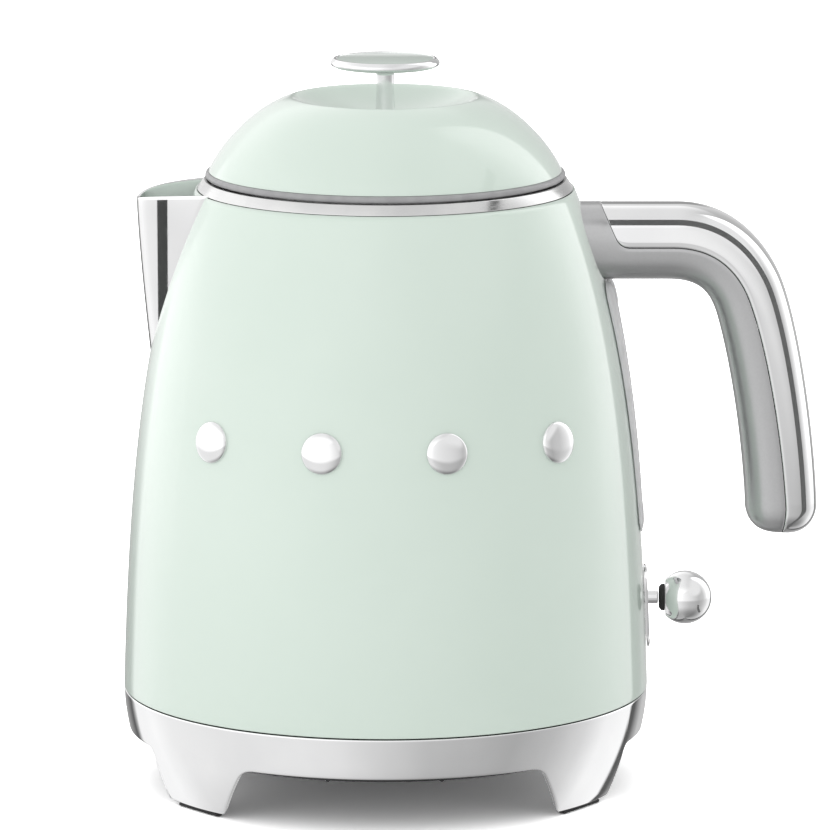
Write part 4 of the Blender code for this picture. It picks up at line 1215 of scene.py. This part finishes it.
def switch():
    """Outside of the ball-ended lever: ball, collar and stem."""
    ball_at = LEVER + Vector((BALL_OUT, 0.0, 0.0)) - AXIS
    start = math.degrees(math.acos(BALL_FLAT / BALL_RADIUS))
    curve = [Vector((p.y, -p.x)) for p in arc((0.0, 0.0), BALL_RADIUS, start, 180, 40)]
    curve[-1].x = 0.0
    ball_outline = [Vector((0.0, -BALL_FLAT)), Vector((curve[0].x - 0.0004, -BALL_FLAT)), *curve]
    pose = (ball_at, (1, 0, 0))
    kept_out_of_the_paint(piece("switch_ball", "chrome", turned_shape(ball_outline), 40, pose))
    back, front = -0.0079, -0.0061
    neck, wide = 0.0032, 0.0041
    collar_outline = [(0.0, back), (neck, back), (wide, -0.0071), (wide, front), (0.0, front)]
    turned("stem_collar", "black", collar_outline, SMALL, 0.0003, pose)
    low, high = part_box("switch_stem")
    stem_outline = rod(STEM_RADIUS, high.x - low.x, 0.0)
    stem_at = Vector((low.x, 0.0, LEVER.z)) - AXIS
    turned("switch_stem", "chrome", stem_outline, SMALL, 0.0003, (stem_at, (1, 0, 0)))


# Pieces that keep their CAD shape

def keep_cad_nodes():
    """Pieces without a finer model stay as they are and take the finish of their slot."""
    for node, obj in frame["nodes"].items():
        if obj.hide_render:
            continue
        obj.data.materials.clear()
        obj.data.materials.append(finish_of(node))
        obj["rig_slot"] = SLOT_OF[node]


# Studio

class Sky:
    """Studio surroundings painted by direction: turn from the front (left positive) and height."""

    def __init__(self):
        world = bpy.data.worlds.new("studio")
        bpy.context.scene.world = world
        world.use_nodes = True
        self.tree = world.node_tree
        self.background = self.tree.nodes["Background"]
        self.direction = self.tree.nodes.new("ShaderNodeTexCoord").outputs["Generated"]
        separate = self.tree.nodes.new("ShaderNodeSeparateXYZ")
        self.tree.links.new(self.direction, separate.inputs[0])
        self.x, y, self.height = separate.outputs
        turn = self.math("ARCTAN2", self.math("MULTIPLY", self.x, -1.0), self.math("MULTIPLY", y, -1.0))
        self.turn_share = self.math("MULTIPLY_ADD", turn, 1 / math.tau, 0.5)

    def math(self, operation, first, second=0.0, third=0.0):
        node = self.tree.nodes.new("ShaderNodeMath")
        node.operation = operation
        for socket, value in zip(node.inputs, (first, second, third)):
            if isinstance(value, (int, float)):
                socket.default_value = value
            else:
                self.tree.links.new(value, socket)
        return node.outputs[0]

    def ramp(self, value, start, end):
        """0 before start and 1 after end, smooth between them."""
        node = self.tree.nodes.new("ShaderNodeMapRange")
        node.interpolation_type = "SMOOTHSTEP"
        node.inputs["From Min"].default_value = start
        node.inputs["From Max"].default_value = end
        self.tree.links.new(value, node.inputs["Value"])
        return node.outputs["Result"]

    def above(self, low, high):
        """Mask that rises between two elevations in degrees."""
        return self.ramp(self.height, math.sin(math.radians(low)), math.sin(math.radians(high)))

    def wall(self, stops):
        """Brightness round the horizon from (turn in degrees, brightness) stops."""
        node = self.tree.nodes.new("ShaderNodeValToRGB")
        self.tree.links.new(self.turn_share, node.inputs["Fac"])
        elements = node.color_ramp.elements
        for element, (turn, level) in zip(elements, (stops[0], stops[-1])):
            element.position = turn / 360 + 0.5
            element.color = (level / 3, level / 3, level / 3, 1.0)
        for turn, level in stops[1:-1]:
            element = elements.new(turn / 360 + 0.5)
            element.color = (level / 3, level / 3, level / 3, 1.0)
        return self.math("MULTIPLY", node.outputs["Color"], 3.0)

    def mix(self, first, second, mask):
        return self.math("MULTIPLY_ADD", mask, self.math("SUBTRACT", second, first), first)

    def cap(self, turn, elevation, edge, full):
        """Round field about a direction, its soft edge given as angles from the middle."""
        a, e = math.radians(turn), math.radians(elevation)
        node = self.tree.nodes.new("ShaderNodeVectorMath")
        node.operation = "DOT_PRODUCT"
        level = math.cos(e)
        node.inputs[1].default_value = (-math.sin(a) * level, -math.cos(a) * level, math.sin(e))
        self.tree.links.new(self.direction, node.inputs[0])
        start, end = math.cos(math.radians(edge)), math.cos(math.radians(full))
        return self.ramp(node.outputs["Value"], start, end)


# Brightness of the walls below and above the horizon, as (turn in degrees, brightness)
LOW_WALL = (
    (-180, 0.60), (-158, 0.60), (-150, 0.34), (-145, 0.13), (-140, 0.11), (-138.5, 1.14),
    (-115, 1.08), (-100, 0.80), (-80, 0.58), (-60, 0.47), (-41, 0.53), (-19, 0.59), (0, 0.72),
    (20, 0.89), (38, 0.94), (78, 0.93), (110, 0.99), (127, 1.12), (146, 1.04), (149, 0.45),
    (153, 0.11), (159, 0.25), (180, 0.60),
)
HIGH_WALL = (
    (-180, 0.85), (-160, 0.60), (-140, 0.50), (-138, 1.90), (-122, 1.80), (-102, 1.05), (-84, 0.68),
    (-60, 0.60), (-30, 0.85), (0, 1.05), (40, 1.50), (75, 1.60), (108, 1.45), (112, 1.65),
    (144, 1.65), (147, 1.05), (165, 1.00), (180, 0.85),
)
# Brightness of the other fields and of the background, then the floor's grey and its exposure
ROOF = 0.72
SOFTBOX = 1.38
UPPER_LEFT = 0.95
BEHIND = 0.35
SEEN_BY_CAMERA = 1.05
FLOOR_LEVEL = 0.9
FLOOR_EXPOSURE = 2.0
# Cards that darken bands of plating: distance, grey, and where on the part they show
FLAG_DISTANCE = 0.06
FLAG_MARGIN = 0.0015
HANDLE_FLAG_LEVEL = 0.17
HANDLE_FLAG_SHARE = 0.803
HANDLE_FLAG_FALL = 0.20
HANDLE_FLAG_BAND = (-0.065, -0.05, 0.0, 0.05, 0.065)
SPOUT_FLAG_LEVEL = 0.09
SPOUT_FLAG_X = (-0.0693, -0.0687, -0.0664, -0.0641, -0.0635)
SPOUT_FLAG_START = 0.30
# View of the photograph: lens in mm, place in metres and downward tilt in degrees
LENS = 321.39
CAMERA_PLACE = (AXIS.x + 0.0104, -2.224, 0.518)
CAMERA_TILT = 10.3456


def sky():
    """Wide softbox high on the left, a strip light on each side and pale walls between."""
    s = Sky()
    level = s.mix(s.wall(LOW_WALL), s.wall(HIGH_WALL), s.above(-12, -3))
    level = s.math("MULTIPLY", level, s.mix(0.5, 1.0, s.above(-70, -30)))
    level = s.mix(level, ROOF, s.above(60, 76))
    level = s.mix(level, UPPER_LEFT, s.cap(-48, 48, 42, 26))
    softbox = s.mix(SOFTBOX, 0.8 * SOFTBOX, s.ramp(s.x, -0.25, 0.35))
    softbox = s.mix(softbox, s.math("MULTIPLY", softbox, 0.72), s.ramp(s.height, 0.45, 0.90))
    field = s.math("MULTIPLY", s.cap(90, 65, 66, 57), s.mix(1.0, 0.0, s.ramp(s.x, 0.10, 0.50)))
    level = s.mix(level, softbox, field)
    level = s.mix(level, BEHIND, s.cap(180, 12, 10, 5))
    path = s.tree.nodes.new("ShaderNodeLightPath")
    level = s.mix(level, SEEN_BY_CAMERA, path.outputs["Is Camera Ray"])
    s.tree.links.new(level, s.background.inputs["Strength"])
    s.background.inputs["Color"].default_value = (1.0, 1.0, 1.0, 1.0)


def mixed_material(name, factor, levels):
    """Two greys mixed by a factor made from the ray. A level of None is clear instead of grey."""
    material = bpy.data.materials.new(name)
    material.use_nodes = True
    tree = material.node_tree
    tree.nodes.remove(tree.nodes["Principled BSDF"])
    share = factor(tree, tree.nodes.new("ShaderNodeLightPath"))
    mix = tree.nodes.new("ShaderNodeMixShader")
    tree.links.new(share, mix.inputs["Fac"])
    for socket, level in zip((1, 2), levels):
        if level is None:
            sheet = tree.nodes.new("ShaderNodeBsdfTransparent")
        else:
            sheet = tree.nodes.new("ShaderNodeBsdfDiffuse")
            sheet.inputs["Color"].default_value = (level, level, level, 1.0)
        tree.links.new(sheet.outputs[0], mix.inputs[socket])
    tree.links.new(mix.outputs[0], tree.nodes["Material Output"].inputs["Surface"])
    return material


def floor():
    """Pale paper floor that shows its shade but stays out of the plating's reflections."""
    bpy.ops.mesh.primitive_plane_add(size=12.0, location=(0, 0, -0.0002))
    plane = bpy.context.object
    plane.name = "floor"
    levels = (FLOOR_LEVEL, FLOOR_EXPOSURE)
    paper = mixed_material("floor_paper", lambda tree, ray: ray.outputs["Is Camera Ray"], levels)
    plane.data.materials.append(paper)
    plane.visible_glossy = False


def cloth(name, level, reach):
    """Grey cloth that is clear to every ray from further off than the plating it stands before."""

    def distant(tree, ray):
        node = tree.nodes.new("ShaderNodeMath")
        node.operation = "GREATER_THAN"
        node.inputs[1].default_value = reach
        tree.links.new(ray.outputs["Ray Length"], node.inputs[0])
        return node.outputs[0]

    return mixed_material(name, distant, (level, None))


def flag(name, place, level):
    """Narrow grey card that shows as a dark band in bright plating.

    place holds rows of points on the plating across the band, with one more point beyond each of
    its edges. The card stands where the camera's rays leave for, and only reflections see it."""
    eye = bpy.context.scene.camera.location
    rows = []
    for i, row in enumerate(place):
        before, after = place[max(i - 1, 0)], place[min(i + 1, len(place) - 1)]
        card = []
        for k in range(1, len(row) - 1):
            normal = (after[k] - before[k]).cross(row[k + 1] - row[k - 1]).normalized()
            view = (eye - AXIS - row[k]).normalized()
            if normal.dot(view) < 0:
                normal.negate()
            away = 2 * normal.dot(view) * normal - view
            card.append(row[k] + away * FLAG_DISTANCE)
        rows.append(card)
    card = made(name, surface(rows), cloth(f"{name}_cloth", level, FLAG_DISTANCE + FLAG_MARGIN))
    card.visible_camera = False
    card.visible_diffuse = False
    card.visible_transmission = False
    card.visible_shadow = False


def handle_flag():
    """Band along the chrome cover, from the arm round the bend and into the seam at the tip."""
    stations = [(inner, outer, HANDLE_HALF_WIDTH) for inner, outer, _ in handle_stations()]
    first_tip = len(stations)
    for inner, outer, inset in tip_stations(*stations[-1][:2])[:9]:
        stations.append((inner, outer, HANDLE_HALF_WIDTH - inset))
    place = []
    for i, (inner, outer, half_width) in enumerate(stations):
        middle = HANDLE_FLAG_SHARE - HANDLE_FLAG_FALL * smooth_step((i - first_tip + 1) / 9)
        shares = (middle + off for off in HANDLE_FLAG_BAND)
        angles = (share_angle(share) for share in shares)
        place.append([section_point(inner, outer, angle, -1, half_width) for angle in angles])
    flag("handle_flag", place, HANDLE_FLAG_LEVEL)


def spout_flag():
    """Upright band on the spout's side."""
    place = []
    for i in range(24):
        v = SPOUT_FLAG_START + (1.0 - SPOUT_FLAG_START) * i / 23
        row = []
        for x in SPOUT_FLAG_X:
            reach = halve(0.0, -1.0, lambda u: spout_point(u, v).x < x)
            row.append(spout_point(reach, v))
        place.append(row)
    flag("spout_flag", place, SPOUT_FLAG_LEVEL)


def camera():
    """Long lens from the front, a little above, at the height of the photograph's view."""
    data = bpy.data.cameras.new("camera")
    data.sensor_width = 36.0
    data.lens = LENS
    data.clip_end = 50.0
    view = bpy.data.objects.new("camera", data)
    view.location = CAMERA_PLACE
    view.rotation_euler = (math.radians(90 - CAMERA_TILT), 0.0, 0.0)
    bpy.context.scene.collection.objects.link(view)
    bpy.context.scene.camera = view
    bpy.context.scene.view_settings.view_transform = "Standard"


camera()
sky()
floor()
handle_flag()
spout_flag()
base_skirt()
base_deck()
base_pan()
foot_pads()
cord_grommet()
base_connector()
base_contacts()
all_screws()
body_shell()
neck_band()
spout()
level_window()
lever_plate()
front_studs()
handle()
filter_set()
heater_plate()
steam_tube()
underside()
lid()
knob()
switch()
keep_cad_nodes()
